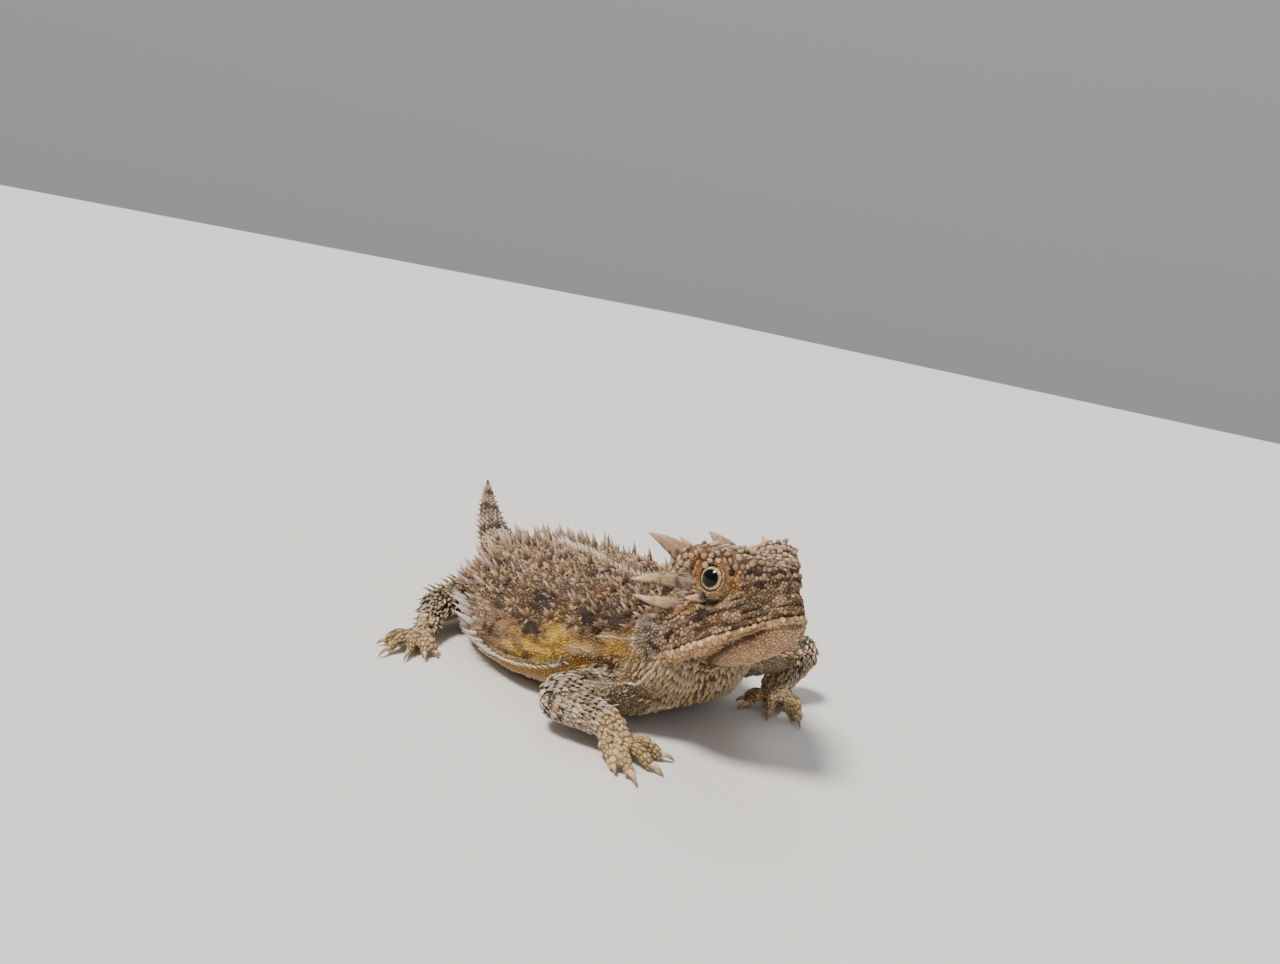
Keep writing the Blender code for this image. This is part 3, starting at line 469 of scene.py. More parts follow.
def tyre_shape(middle, axis, ring_radius, thickness, around=40, across=12):
    """A ring of flesh round an axis, such as an eyelid, in the head's frame, given in the world's."""
    turn, angle = circle(around), circle(across)
    out = np.stack([np.cos(turn), np.sin(turn), np.zeros(around)], 1)
    spots = out[:, None] * (ring_radius + thickness * np.cos(angle))[None, :, None]
    spots = spots + np.array((0, 0, 1.0)) * (thickness * np.sin(angle))[None, :, None]
    low = np.arange(around * across).reshape(around, across)
    next_round, beyond = np.roll(low, -1, 0), np.roll(low, -1, 1)
    faces = np.stack([low, next_round, np.roll(next_round, -1, 1), beyond], 2).reshape(-1, 4)
    return from_head(np.asarray(middle) + spots.reshape(-1, 3) @ facing_matrix(axis).T), faces.tolist()


def all_forms():
    """All forms of the flesh, and the root, tip and radius of each claw."""
    forms, claws = [trunk_form(), neck_form(), HeadForm(), tail_form()], []
    for side in SIDES:
        for names, joints, turns, widths, heights, reach, level, plan, size, digit in LIMBS:
            root, bend, end = (joint[side] for joint in joints)
            ahead = heading(turns[side])
            front = np.array(end) + ahead * reach
            front[2] = level
            runs = ((root, bend), (bend, end), (np.array(end) - ahead, front))
            for name, run, width, height in zip(names, runs, widths, heights):
                forms.append(limb_form(f"{name}_{side}", run, width, height))
            more, tips = digit_forms(side, front, turns[side], plan, size, digit)
            forms += more
            claws += tips
    return forms, claws


FORMS, CLAWS = all_forms()
LABELS = {form.name: k for k, form in enumerate(FORMS)}
TRUNK_LABEL, NECK_LABEL, HEAD_LABEL, TAIL_LABEL = range(4)
LID, FOLD = len(FORMS), len(FORMS) + 1  # labels of the lids, and of the folds beside the ears


def labelled(*starts):
    """Labels of the forms whose names start with any of these."""
    return [k for name, k in LABELS.items() if name.startswith(starts)]


HEAD_AND_LIDS = [HEAD_LABEL, LID]
UPPER_ARMS = labelled("upper_arm")
LONG_PARTS, FLAT_PARTS = labelled("upper_arm", "forearm", "thigh", "shank"), labelled("palm", "sole")
DIGITS = labelled("finger", "toe")


# meshes


def linked(name, data):
    obj = bpy.data.objects.new(name, data)
    bpy.context.scene.collection.objects.link(obj)
    return obj


def made(name, points, faces, finish):
    """A smooth mesh object from points in millimetres and a list of faces."""
    mesh = bpy.data.meshes.new(name)
    mesh.from_pydata((np.asarray(points) * MM).tolist(), [], [tuple(map(int, f)) for f in faces])
    mesh.update()
    mesh.polygons.foreach_set("use_smooth", np.full(len(mesh.polygons), True))
    mesh.materials.append(finish)
    obj = linked(name, mesh)
    return obj


def painted(mesh, colours):
    layer = mesh.color_attributes.new("tint", "FLOAT_COLOR", "POINT")
    rgba = np.concatenate([np.clip(colours, 0, 1), np.ones((len(colours), 1))], 1)
    layer.data.foreach_set("color", rgba.astype(np.float32).ravel())


def smoothed(points, edges, weight, rounds):
    count = len(points)
    degree = np.maximum(np.bincount(edges.ravel(), minlength=count), 1)
    for _ in range(rounds):
        total = np.empty_like(points)
        for axis in range(3):
            total[:, axis] = np.bincount(edges[:, 0], points[edges[:, 1], axis], count)
            total[:, axis] += np.bincount(edges[:, 1], points[edges[:, 0], axis], count)
        points = points + (total / degree[:, None] - points) * weight[:, None]
    return points


def read(items, name, width=3, kind=float):
    """A property of all items, one row for each."""
    values = np.empty(len(items) * width, kind)
    items.foreach_get(name, values)
    return values.reshape(-1, width)


def read_points(mesh):
    return read(mesh.vertices, "co") / MM


def read_normals(mesh):
    return read(mesh.vertex_normals, "vector")


def read_edges(mesh):
    return read(mesh.edges, "vertices", 2, np.int32)


def write_points(mesh, points):
    mesh.vertices.foreach_set("co", (points * MM).astype(np.float32).ravel())
    mesh.update()


def tree_of(points):
    tree = KDTree(len(points))
    for k, point in enumerate(points):
        tree.insert(point, k)
    tree.balance()
    return tree


class Skin:
    """One closed skin through all forms: label, share and turn of its points, level of its triangles."""

    VOXEL = 0.45
    LOWEST = 0.06

    def __init__(self):
        shapes = [(*form.shape(), k) for k, form in enumerate(FORMS)]
        axis = unit(np.array(EYE_AXIS))
        for _, _, mirror in mirrors():
            rim = np.array(EYE_PLACE) + axis * EYE_RADIUS * 0.62
            shapes.append((*tyre_shape(rim * mirror, axis * mirror, EYE_RADIUS * 0.94, 0.66), LID))
            shapes.append((*ball_shape(from_head(np.array(EAR_FOLD) * mirror), EAR_FOLD_RADIUS), FOLD))
        source = np.concatenate([points for points, _, _ in shapes])
        self.source_labels = np.concatenate([np.full(len(points), label) for points, _, label in shapes])
        self.tree = tree_of(source)
        faces, offset = [], 0
        for points, more, _ in shapes:
            faces.extend(tuple(v + offset for v in face) for face in more)
            offset += len(points)
        mesh = bpy.data.meshes.new("skin")
        mesh.from_pydata((source * MM).tolist(), [], faces)
        mesh.update()
        self.obj = linked("skin", mesh)
        self.remesh()
        self.relax()
        self.refine_head()
        self.sculpt()
        self.measure()

    def label_of(self, points):
        return np.array([self.source_labels[self.tree.find(p)[1]] for p in points])

    def remesh(self):
        change = self.obj.modifiers.new("remesh", "REMESH")
        change.mode = "VOXEL"
        change.voxel_size = self.VOXEL * MM
        graph = bpy.context.evaluated_depsgraph_get()
        mesh = bpy.data.meshes.new_from_object(self.obj.evaluated_get(graph))
        self.obj.modifiers.clear()
        old, self.obj.data = self.obj.data, mesh
        bpy.data.meshes.remove(old)

    def pushed(self, points, distance):
        """Moves the points by a distance along their normals, and none below the lowest."""
        points = points + read_normals(self.obj.data) * distance[:, None]
        points[:, 2] = np.maximum(points[:, 2], self.LOWEST)
        write_points(self.obj.data, points)

    def relax(self):
        mesh = self.obj.data
        points = read_points(mesh)
        self.label = self.label_of(points)
        fine, head = np.isin(self.label, DIGITS), np.isin(self.label, HEAD_AND_LIDS)
        weight = np.where(fine, 0.25, np.where(head, 0.35, 0.6))
        points = smoothed(points, read_edges(mesh), weight, 9)
        write_points(mesh, points)
        self.pushed(points, np.where(fine, -0.05, np.where(head, -0.15, -0.3)))

    def refine_head(self):
        """Splits the faces of the head in four."""
        mesh = self.obj.data
        shape = bmesh.new()
        shape.from_mesh(mesh)
        shape.verts.ensure_lookup_table()
        on_head = np.isin(self.label, HEAD_AND_LIDS)
        edges = [e for e in shape.edges if on_head[e.verts[0].index] and on_head[e.verts[1].index]]
        bmesh.ops.subdivide_edges(shape, edges=edges, cuts=1, use_grid_fill=True)
        bmesh.ops.triangulate(shape, faces=[f for f in shape.faces if len(f.verts) > 4])
        shape.to_mesh(mesh)
        shape.free()
        mesh.update()
        points = read_points(mesh)
        self.label = self.label_of(points)
        weight = np.where(np.isin(self.label, HEAD_AND_LIDS), 0.5, 0.0)
        write_points(mesh, smoothed(points, read_edges(mesh), weight, 2))

    def sculpt(self):
        points = read_points(self.obj.data)
        self.pushed(points, head_relief(points, self.label) + body_relief(points, self.label))

    def measure(self):
        mesh = self.obj.data
        self.points, self.normals = read_points(mesh), read_normals(mesh)
        mesh.calc_loop_triangles()
        self.triangles = read(mesh.loop_triangles, "vertices", 3, np.int32)
        self.bvh = BVHTree.FromPolygons(self.points.tolist(), self.triangles.tolist())
        self.share, self.turn, _ = place_on_forms(self.points, self.label)
        self.level = from_flank(self.at_triangles(self.turn))

    def at_triangles(self, values):
        """A value of the skin's points, for each triangle."""
        return values[self.triangles[:, 0]]

    def on(self, *labels):
        return np.isin(self.at_triangles(self.label), labels)


def place_on_forms(points, label):
    share, turn, run = np.zeros(len(points)), np.zeros(len(points)), np.zeros((len(points), 3))
    for k, form in enumerate([*FORMS, FORMS[HEAD_LABEL], FORMS[NECK_LABEL]]):
        here = label == k
        if here.any():
            share[here], turn[here], run[here] = form.locate(points[here])
    return share, turn, run


def head_relief(points, label):
    """How far the head's skin stands out, in millimetres: brows, lips, the mouth's line, jaw band and hollows."""
    lift = np.zeros(len(points))
    near = np.isin(label, [*HEAD_AND_LIDS, FOLD, NECK_LABEL])
    head = one_sided(to_head(points[near]))
    x, y, z = head.T
    on_head = np.isin(label[near], HEAD_AND_LIDS)
    _, brow_w, brow_z, *_ = along(HEAD, np.clip(x, HEAD[0][0], HEAD[-1][0]))
    drop = z - line_at(MOUTH_LINE, x)
    gape = smooth_step(2.0, 4.5, x) * on_head
    hollow_at = line_at(HOLLOW_DROP, x)
    # The mouth's line and the lip above it.
    relief = -0.3 * bump(drop, 0.2) * gape
    relief += 0.12 * bump(drop - 0.7, 0.4) * gape
    # The jaw's band, the hollow below it and the chin.
    band = smooth_step(-4.0, -1.0, x) * on_head
    relief += 0.42 * bump(drop - hollow_at * 0.42, 0.1 - 0.33 * hollow_at) * band
    sunk = 0.5 + 0.45 * smooth_step(18, 8, x) - 0.3 * smooth_step(16, 18.5, x)
    relief -= sunk * bump(drop - hollow_at, 0.2 - 0.2 * hollow_at) * band
    chin = smooth_step(hollow_at - 0.8, hollow_at - 2.4, drop)
    relief += 0.45 * chin * smooth_step(-2, 3, x) * smooth_step(19, 15, x) * on_head
    # Brows, the crown's dip and the groove round the eye.
    brow = np.hypot(y - brow_w, z - brow_z)
    relief += 0.75 * bump(brow, 0.9) * smooth_step(2.5, 5.5, x) * smooth_step(15.5, 12.5, x)
    relief += 0.35 * bump(brow, 0.7) * smooth_step(12.5, 15.0, x) * smooth_step(19.6, 18.5, x)
    relief -= 0.35 * smooth_step(0.8, 0.0, y / np.maximum(brow_w, 1)) * smooth_step(4, 7, z) * smooth_step(3, 6, x)
    eye = np.linalg.norm((head - np.array(EYE_PLACE)) * FLAT, axis=1)
    relief -= 0.45 * bump(eye - 4.0, 0.55) * on_head * (z > -2.5) * (y > 4.5)
    relief -= 0.34 * smooth_step(0.52, 0.25, wrinkles(head)) * cheek_share(head, drop) * on_head
    # Nostrils and ears.
    nostril = np.linalg.norm(head - np.array(NOSTRIL), axis=1)
    relief += 0.25 * bump(nostril - 0.9, 0.35) - 0.9 * bump(nostril, 0.5)
    relief -= 1.1 * bump(np.hypot((x + 0.1) / 0.8, (z + 5.9) / 2.6), 1.0) * (y > 8)
    lift[near] = relief
    return lift


def body_relief(points, label):
    """Folds and unevenness of the body's skin, in millimetres."""
    body, trunk = np.isin(label, [TRUNK_LABEL, NECK_LABEL, FOLD]), label == TRUNK_LABEL
    lift = sway(points, 3.4, 0.55) + sway(points, 1.5, 0.3, 7.0)
    lift = lift * np.where(body, 1.0, np.where(label == HEAD_LABEL, 0.25, 0.4))
    turn = FORMS[TRUNK_LABEL].locate(points[trunk])[1]
    lift[trunk] += 0.7 * bump(from_flank(turn), 5.5)
    return lift


# markings

# Dark blotches of the right side, mirrored on the left: middle and reach. The last four are on the shoulder.
BLOTCHES = (
    (14.0, -19.2, 18.4, 2.2, 2.6, 2.4), (15.6, -21.0, 16.2, 2.6, 2.2, 1.9), (18.4, -19.0, 17.9, 1.9, 2.2, 1.2),
    (4.6, -26.2, 12.4, 4.2, 2.4, 1.3), (2.9, -22.3, 16.4, 3.2, 3.0, 1.9), (3.0, -9.2, 21.0, 2.6, 3.6, 3.0),
    (19.4, -13.4, 20.6, 3.2, 4.2, 3.0), (-17.6, -17.2, 16.0, 3.6, 3.6, 2.8), (-8.6, -21.6, 14.2, 3.0, 3.0, 1.8),
    (-9.8, -10.0, 19.6, 2.8, 2.8, 3.0), (11.4, -8.4, 21.8, 2.4, 2.2, 3.0), (-21.5, -8.4, 18.0, 2.4, 2.4, 3.0),
    (-28.5, -7.6, 15.4, 2.6, 2.4, 3.0), (-18.0, -23.0, 8.6, 3.0, 2.4, 1.6), (-4.6, -28.0, 8.0, 1.8, 2.0, 0.8),
    (15.4, -22.8, 7.2, 2.4, 2.4, 1.2), (21.6, -25.4, 9.8, 2.2, 2.2, 1.2), (23.0, -20.4, 10.8, 2.4, 2.0, 1.2),
    (25.8, -19.4, 10.4, 1.4, 1.6, 0.9),
)
# Ochre and orange patches, right side: middle, reach.
OCHRES = (
    (7.9, -21.2, 17.2, 1.9, 2.0, 1.4), (9.4, -13.4, 20.6, 3.4, 2.4, 2.4), (12.4, -16.4, 19.4, 2.0, 2.0, 1.4),
    (-16.6, -20.6, 13.6, 3.0, 2.0, 1.6), (-22.6, -12.8, 16.6, 2.2, 2.2, 2.0), (-2.6, -14.8, 19.3, 2.4, 2.4, 2.0),
    (-12.8, -14.0, 18.2, 2.2, 2.2, 2.0), (0.8, -27.0, 11.0, 3.0, 2.4, 1.0),
)
# Yellow and mustard of the flank: middle, reach, colour.
MUSTARDS = (
    (9.8, -25.8, 8.8, 7.8, 4.6, 3.3, YELLOW), (11.6, -24.4, 12.2, 4.6, 3.2, 2.2, YELLOW),
    (15.6, -22.6, 12.2, 4.0, 3.2, 2.6, MUSTARD), (21.4, -20.0, 14.4, 4.6, 3.4, 3.0, MUSTARD),
    (26.6, -18.6, 14.6, 3.4, 3.0, 2.8, MUSTARD), (19.2, -19.2, 16.8, 2.4, 2.2, 1.6, MUSTARD),
    (6.0, -26.4, 3.8, 6.0, 3.0, 1.8, YELLOW), (9.0, -22.6, 15.0, 2.4, 3.0, 2.2, MUSTARD),
)
# The grey front of the shoulder: middle, reach.
SHOULDER_FRONT = (26.8, -19.6, 6.0, 4.0, 5.6, 3.6)
# Pale ridges of pointed scales, right side: points along each, its half width and how pale it is.
RIDGES = (
    (((20.2, -28.7, 9.4), (22.2, -26.7, 9.2), (23.9, -22.8, 9.0), (26.9, -18.8, 9.6), (28.2, -17.8, 11.2),
      (29.3, -17.3, 13.9)), 0.36, 1.0),
    (((18.5, -20.6, 15.1), (21.9, -19.8, 16.2), (25.4, -19.1, 17.3)), 0.4, 0.8),
    (((14.8, -23.5, 11.8), (16.6, -22.8, 12.1), (18.0, -22.3, 12.2)), 0.6, 0.35),
    (((12.0, -24.6, 7.4), (14.0, -25.2, 8.2), (17.0, -27.5, 9.2)), 0.4, 0.9),
)
# The fringe's line along the flank: x, and degrees from the trunk's widest line.
FRINGE_LINE = (
    (-33, -2), (-24, 1), (-18, 5), (-14.4, 6), (-9.8, 2), (-6.6, -3), (-4, -9), (-1, -12), (6, -13), (9.5, -12),
    (12.4, -8), (15.4, -4),
)
# Spots of the head in its own frame: middle, reach, colour.
HEAD_SPOTS = (
    (6.9, 9.0, 6.6, 1.7, 2.0, 1.5, ORANGE), (9.6, 8.9, 6.9, 1.6, 2.0, 0.9, ORANGE),
    (11.9, 8.2, 5.8, 1.4, 2.0, 0.8, colour(196, 150, 92)), (13.1, 6.4, 3.0, 0.9, 2.0, 1.1, ORANGE),
    (12.5, 6.8, 1.7, 0.7, 2.0, 0.6, ORANGE), (8.9, 9.0, 6.5, 1.3, 1.6, 0.5, colour(84, 54, 34)),
    (16.0, 4.9, 4.1, 0.8, 1.4, 0.52, DARK), (17.1, 4.1, 3.8, 0.62, 1.2, 0.46, DARK),
    (18.2, 3.0, 3.8, 0.66, 1.2, 0.5, DARK), (18.9, 1.6, 4.0, 0.5, 0.8, 0.42, DARK),
    (19.0, 1.8, 2.6, 0.6, 0.8, 0.5, DARK), (14.9, 5.5, 1.9, 0.6, 1.4, 0.6, colour(92, 70, 56)),
    (16.7, 4.3, 2.1, 1.05, 1.4, 0.72, DARK), (17.6, 3.9, 2.5, 0.5, 1.2, 0.42, DARK),
    (18.7, 2.8, 2.2, 0.42, 0.9, 0.4, DARK), (12.9, 7.4, 4.3, 0.6, 1.4, 0.5, DARK),
    (13.9, 6.6, -1.5, 0.9, 1.4, 0.4, colour(112, 84, 64)), (9.3, 9.0, 0.8, 1.2, 2.0, 0.42, DARK),
    (9.0, 8.6, -0.3, 1.5, 2.0, 0.62, DARK), (8.7, 9.4, -1.6, 1.4, 2.0, 0.55, DARK),
    (7.7, 10.2, -2.7, 1.3, 2.0, 0.6, DARK), (8.0, 10.6, -4.5, 1.7, 2.0, 0.45, colour(92, 58, 40)),
    (13.7, 7.3, -3.9, 1.1, 1.6, 0.42, colour(92, 62, 44)), (18.9, 2.4, -2.9, 1.2, 1.8, 0.5, colour(150, 98, 58)),
    (7.4, 9.3, 1.4, 0.9, 1.6, 0.8, colour(216, 190, 176)), (5.2, 10.6, 3.4, 0.8, 1.6, 0.6, DARK),
    (5.0, 10.8, -1.0, 1.7, 2.0, 1.4, colour(178, 134, 84)), (4.7, 11.4, -3.8, 1.5, 2.0, 1.3, colour(150, 112, 84)),
    (1.7, 12.2, -5.6, 0.5, 2.0, 1.1, DARK),
)


def within(points, spot, edge=0.25, rough=1.0, scale=1.0):
    """1 inside the uneven-edged ellipsoid of a spot's middle and reach, and 0 outside it."""
    distance = np.linalg.norm((points - np.array(spot[:3])) / (np.array(spot[3:6]) * scale), axis=1)
    uneven = sway(points, 2.0, 1.0, 31.0) + sway(points, 0.8, 0.7, 5.0)
    return smooth_step(1.0 + edge, 1.0 - edge, distance + uneven * rough)


def flecked(tone, points, *flecks):
    """The tone under random patches: each has a colour, its share, the noise's ends, size and shift."""
    for ink, share, low, high, size, shift in flecks:
        tone = mixed(tone, ink, share * patches(points, low, high, size, shift))
    return tone


def from_flank(turn):
    """Degrees above the widest line, negative below it."""
    return np.where(turn >= 0, 1, -1) * np.minimum(np.abs(turn), 180 - np.abs(turn))


def right_side(points):
    """The points mirrored onto the body's right side, and how far they lie left of its middle."""
    middle_y = line_at(TRUNK, points[:, 0])
    mirrored = points.copy()
    mirrored[:, 1] = middle_y - np.abs(points[:, 1] - middle_y)
    return mirrored, points[:, 1] - middle_y


def body_colours(points, turn):
    mirrored, off_middle = right_side(points)
    x, flank = points[:, 0], from_flank(turn)
    tone = flecked(TAN, points, (PINK_GREY, 1, 0.3, 0.7, 4.5, 0), (colour(122, 92, 68), 0.6, 0.45, 0.7, 2.2, 3.0),
                   (ORANGE, 0.4, 0.55, 0.75, 2.6, 17.0))
    for spot in OCHRES:
        tone = mixed(tone, ORANGE, 0.7 * within(mirrored, spot, 0.4))
    crease = NOISE.at(points * np.array((1 / 2.4, 1 / 3.0, 1 / 0.8)), 1.0)
    for spot in MUSTARDS:
        shade = mixed(spot[6], colour(142, 102, 44), 0.85 * smooth_step(0.52, 0.3, crease))
        tone = mixed(tone, shade, 0.95 * within(mirrored, spot, 0.35))
    grain = patches(points, 0.6, 0.35, 0.8, 5.0)
    for spot in BLOTCHES:
        rim = (spot[0] - 0.9, *spot[1:])
        tone = mixed(tone, colour(190, 150, 100), 0.5 * within(mirrored, rim, 0.15, scale=1.18))
        tone = mixed(tone, colour(112, 86, 66), 0.35 * within(mirrored, spot, 0.5, scale=1.5))
        tone = mixed(tone, colour(84, 62, 54), (0.45 + 0.4 * grain) * within(mirrored, spot))
        tone = mixed(tone, DARK, (0.3 + 0.6 * grain) * within(mirrored, spot, scale=0.8))
    pale = smooth_step(10, 2, x) * smooth_step(-24, -16, x) * (flank > 12)
    tone = tone * (1 + 0.22 * pale - 0.22 * smooth_step(8, 14, x) * (flank > 30))[:, None]
    tone = flecked(tone, points, (DARK, 0.6, 0.38, 0.22, 0.9, 11.0))
    bright = 0.25 + 0.7 * smooth_step(-1, -4, x) * smooth_step(-30, -26, x)
    line = smooth_step(1.1, 0.6, np.abs(off_middle + 0.6 + sway(points, 2.0, 0.8))) * (turn > 40)
    return mixed(tone, WHITE, bright * line), flank


def ridge_share(points, path, width):
    """1 on a line through the points of the path, fading to 0 off it."""
    path = np.array(path)
    nearest = np.full(len(points), 1e9)
    for start, run in zip(path, np.diff(path, axis=0)):
        t = np.clip((points - start) @ run / (run @ run), 0, 1)
        nearest = np.minimum(nearest, np.linalg.norm(points - start - t[:, None] * run, axis=1))
    return bump(nearest, width * 1.5)


def ridges_on(points, tone):
    """The tone with the grey front of the shoulders and the pale ridges above it."""
    mirrored, _ = right_side(points)
    grey = flecked(colour(148, 132, 112), points, (colour(196, 182, 162), 1, 0.5, 0.68, 0.8, 3.0))
    tone = mixed(tone, grey, 0.8 * within(mirrored, SHOULDER_FRONT, 0.4))
    for path, width, pale in RIDGES:
        tone = mixed(tone, WHITE, pale * ridge_share(mirrored, path, width))
    return tone


def trunk_colours(points, turn):
    tone, flank = body_colours(points, turn)
    x, above = points[:, 0], flank - line_at(FRINGE_LINE, points[:, 0])
    under = smooth_step(-10, -26, above)
    side = mixed(colour(160, 130, 84), CREAM, under)
    side = mixed(side, MUSTARD, 0.8 * smooth_step(-8, 2, x) * (1 - under))
    tone = mixed(tone, side, smooth_step(0, -5, above))
    white = bump(above, 1.3) * smooth_step(15.5, 12.5, x) * smooth_step(-8, -3, x)
    return mixed(ridges_on(points, tone), WHITE, 0.95 * white)


def neck_colours(points, turn):
    tone, flank = body_colours(points, turn)
    cream = flecked(CREAM, points, (colour(150, 124, 84), 0.7, 0.5, 0.75, 2.6, 2.0))
    return ridges_on(points, mixed(tone, cream, smooth_step(8, -18, flank)))


def wrinkles(head):
    """Long uneven lines that run beside the mouth's, as noise in the head's frame."""
    drawn = np.stack([head[:, 0] / 2.6, np.abs(head[:, 1]) / 2.0, (head[:, 2] - 0.28 * head[:, 0]) / 0.62], 1)
    return NOISE.at(drawn + 50.0, 1.0)


def cheek_share(head, drop):
    """1 on the cheeks between the mouth and the eyes, 0 elsewhere."""
    return smooth_step(0.1, 1.0, drop) * smooth_step(2.6, 0.6, head[:, 2]) * smooth_step(-1, 3, head[:, 0])


def head_colours(points):
    head = one_sided(to_head(points))
    x, _, z = head.T
    drop = z - line_at(MOUTH_LINE, x)
    tone = flecked(
        colour(170, 142, 116), points, (colour(146, 114, 84), 1, 0.35, 0.65, 1.8, 0),
        (colour(126, 110, 98), 0.7, 0.5, 0.7, 2.4, 14.0), (colour(96, 70, 52), 0.7, 0.56, 0.72, 0.9, 4.0),
        (colour(198, 170, 148), 0.5, 0.56, 0.72, 1.2, 6.0),
    )
    tone = mixed(tone, colour(88, 64, 50), 0.6 * smooth_step(0.5, 0.25, wrinkles(head)) * cheek_share(head, drop))
    crown = flecked(colour(186, 158, 138), points, (colour(222, 194, 178), 1, 0.4, 0.7, 1.3, 2.0),
                    (colour(132, 98, 78), 0.85, 0.5, 0.66, 1.1, 9.0))
    tone = mixed(tone, crown, 0.9 * smooth_step(5.0, 6.6, z))
    for spot in HEAD_SPOTS:
        tone = mixed(tone, spot[6], 0.95 * within(head, spot, 0.25, 0.45))
    # Below the mouth: the jaw's band, the throat and its blush.
    lip, hollow_at = smooth_step(0.1, -0.15, drop), line_at(HOLLOW_DROP, x)
    band = flecked(colour(214, 184, 150), points, (colour(186, 154, 118), 1, 0.4, 0.7, 1.1, 0))
    tone = mixed(tone, band, lip)
    tone = mixed(tone, colour(190, 162, 132), smooth_step(hollow_at + 0.1, hollow_at - 0.5, drop))
    tone = flecked(tone, points, (colour(176, 138, 116), 0.6 * lip * (drop < hollow_at), 0.5, 0.7, 3.0, 1.0))
    tone = tone * (1 - 0.2 * smooth_step(0, 0.6, drop) * smooth_step(6.0, 4.5, z))[:, None]
    # The hollow under the jaw's band, painted dark as its shadow, the mouth's line, a spot under the jaw and the
    # nostrils.
    hollow = bump(drop - hollow_at, 0.4 - 0.12 * hollow_at) * smooth_step(-1, 3, x)
    tone = mixed(tone, colour(66, 46, 28), 0.95 * hollow * (1 - 0.75 * smooth_step(15.5, 18.5, x)))
    tone = mixed(tone, colour(74, 48, 34), 0.8 * bump(drop - 0.1, 0.24) * smooth_step(1.5, 4, x))
    spot, nostril = (np.linalg.norm(head - np.array(place), axis=1) for place in ((9.7, 1.3, -10.2), NOSTRIL))
    tone = mixed(tone, colour(92, 66, 48), 0.8 * smooth_step(0.9, 0.4, spot))
    # Painted shade: the nostrils near black, as the shade inside their openings.
    return mixed(tone, colour(40, 28, 22), smooth_step(0.75, 0.45, nostril))


def lid_colours(points):
    """Fine dark rings round the eye, orange above it and paler below."""
    arm = one_sided(to_head(points)) - np.array(EYE_PLACE)
    axis = unit(np.array(EYE_AXIS))
    off = np.linalg.norm(arm - (arm @ axis)[:, None] * axis, axis=1)
    above = smooth_step(-0.6, 1.2, arm[:, 2] - 0.3 * arm[:, 0])
    tone = mixed(colour(192, 158, 118), colour(176, 120, 66), above)
    ring = smooth_step(0.2, 0.9, np.sin(off * 2 * math.pi / 0.52 + sway(points, 1.2, 3)))
    tone = mixed(tone, colour(88, 58, 38), 0.6 * ring)
    return mixed(tone, colour(58, 40, 30), smooth_step(2.35, 2.1, off) * 0.8)


def fold_colours(points):
    """Pale grey folds beside the ears, each with a crease painted dark as the shade in it, and a dark spot."""
    head = one_sided(to_head(points))
    tone = flecked(colour(178, 164, 156), points, (colour(222, 206, 196), 1, 0.35, 0.6, 1.2, 0),
                   (colour(92, 76, 66), 0.7, 0.6, 0.72, 0.8, 3.0))
    crease = ridge_share(head, ((-1.3, 14.2, -6.0), (-1.0, 12.2, -7.4)), 0.45)
    # Painted shade: the crease by the ear is darkened as the shade that falls in it.
    tone = mixed(tone, colour(54, 40, 32), 0.9 * crease)
    return mixed(tone, colour(70, 54, 46), 0.8 * within(head, (-1.3, 13.9, -3.9, 0.6, 0.7, 0.6)))


def tail_colours(points, share, turn):
    tone = mixed(flecked(colour(176, 154, 128), points, (PINK_GREY, 1, 0.3, 0.7, 2.5, 0)), WHITE, 0.35)
    bars = smooth_step(0.0, 0.5, np.sin(share * 2 * math.pi * 5.5 + sway(points, 1.6, 2.8)))
    tone = mixed(tone, colour(70, 50, 40), 0.88 * bars * smooth_step(-30, -5, turn))
    return mixed(tone, CREAM, 0.6 * smooth_step(0, -40, turn))


def limb_colours(points, share, turn, front):
    tone = flecked(colour(190, 170, 150), points, (colour(156, 136, 112), 1, 0.35, 0.7, 2.0, 0))
    bars = smooth_step(0.25, 0.7, np.sin(share * 2 * math.pi * 2.6 + sway(points, 1.8, 3)))
    above = smooth_step(10, 50, np.where(turn > 90, 180 - turn, turn))
    tone = mixed(tone, colour(78, 58, 46), (0.75 if front else 0.3) * bars * above)
    olive, lichen = (colour(124, 108, 68), 0.15) if front else (colour(128, 116, 76), 0.4)
    tone = flecked(tone, points, (olive, lichen, 0.4, 0.7, 3.0, 8.0))
    if not front:
        return tone
    mirrored, _ = right_side(points)
    for spot in BLOTCHES[-4:]:
        tone = mixed(tone, DARK, 0.8 * within(mirrored, spot))
    return ridges_on(points, tone)


def foot_colours(points, share, name):
    tone = flecked(colour(228, 206, 160), points, (colour(196, 166, 112), 1, 0.4, 0.75, 1.5, 0),
                   (colour(206, 168, 84), 0.5, 0.55, 0.7, 2.2, 5.0), (colour(110, 88, 72), 0.5, 0.6, 0.75, 0.9, 2.0))
    if name.startswith(("finger", "toe")):
        knuckle = smooth_step(0.55, 0.3, share + sway(points, 1.3, 0.5, 8.0))
        tone = mixed(tone, colour(134, 112, 98), 0.75 * knuckle)
    return mixed(tone, colour(146, 120, 92), 0.55 if name.startswith(("sole", "toe")) else 0.1)


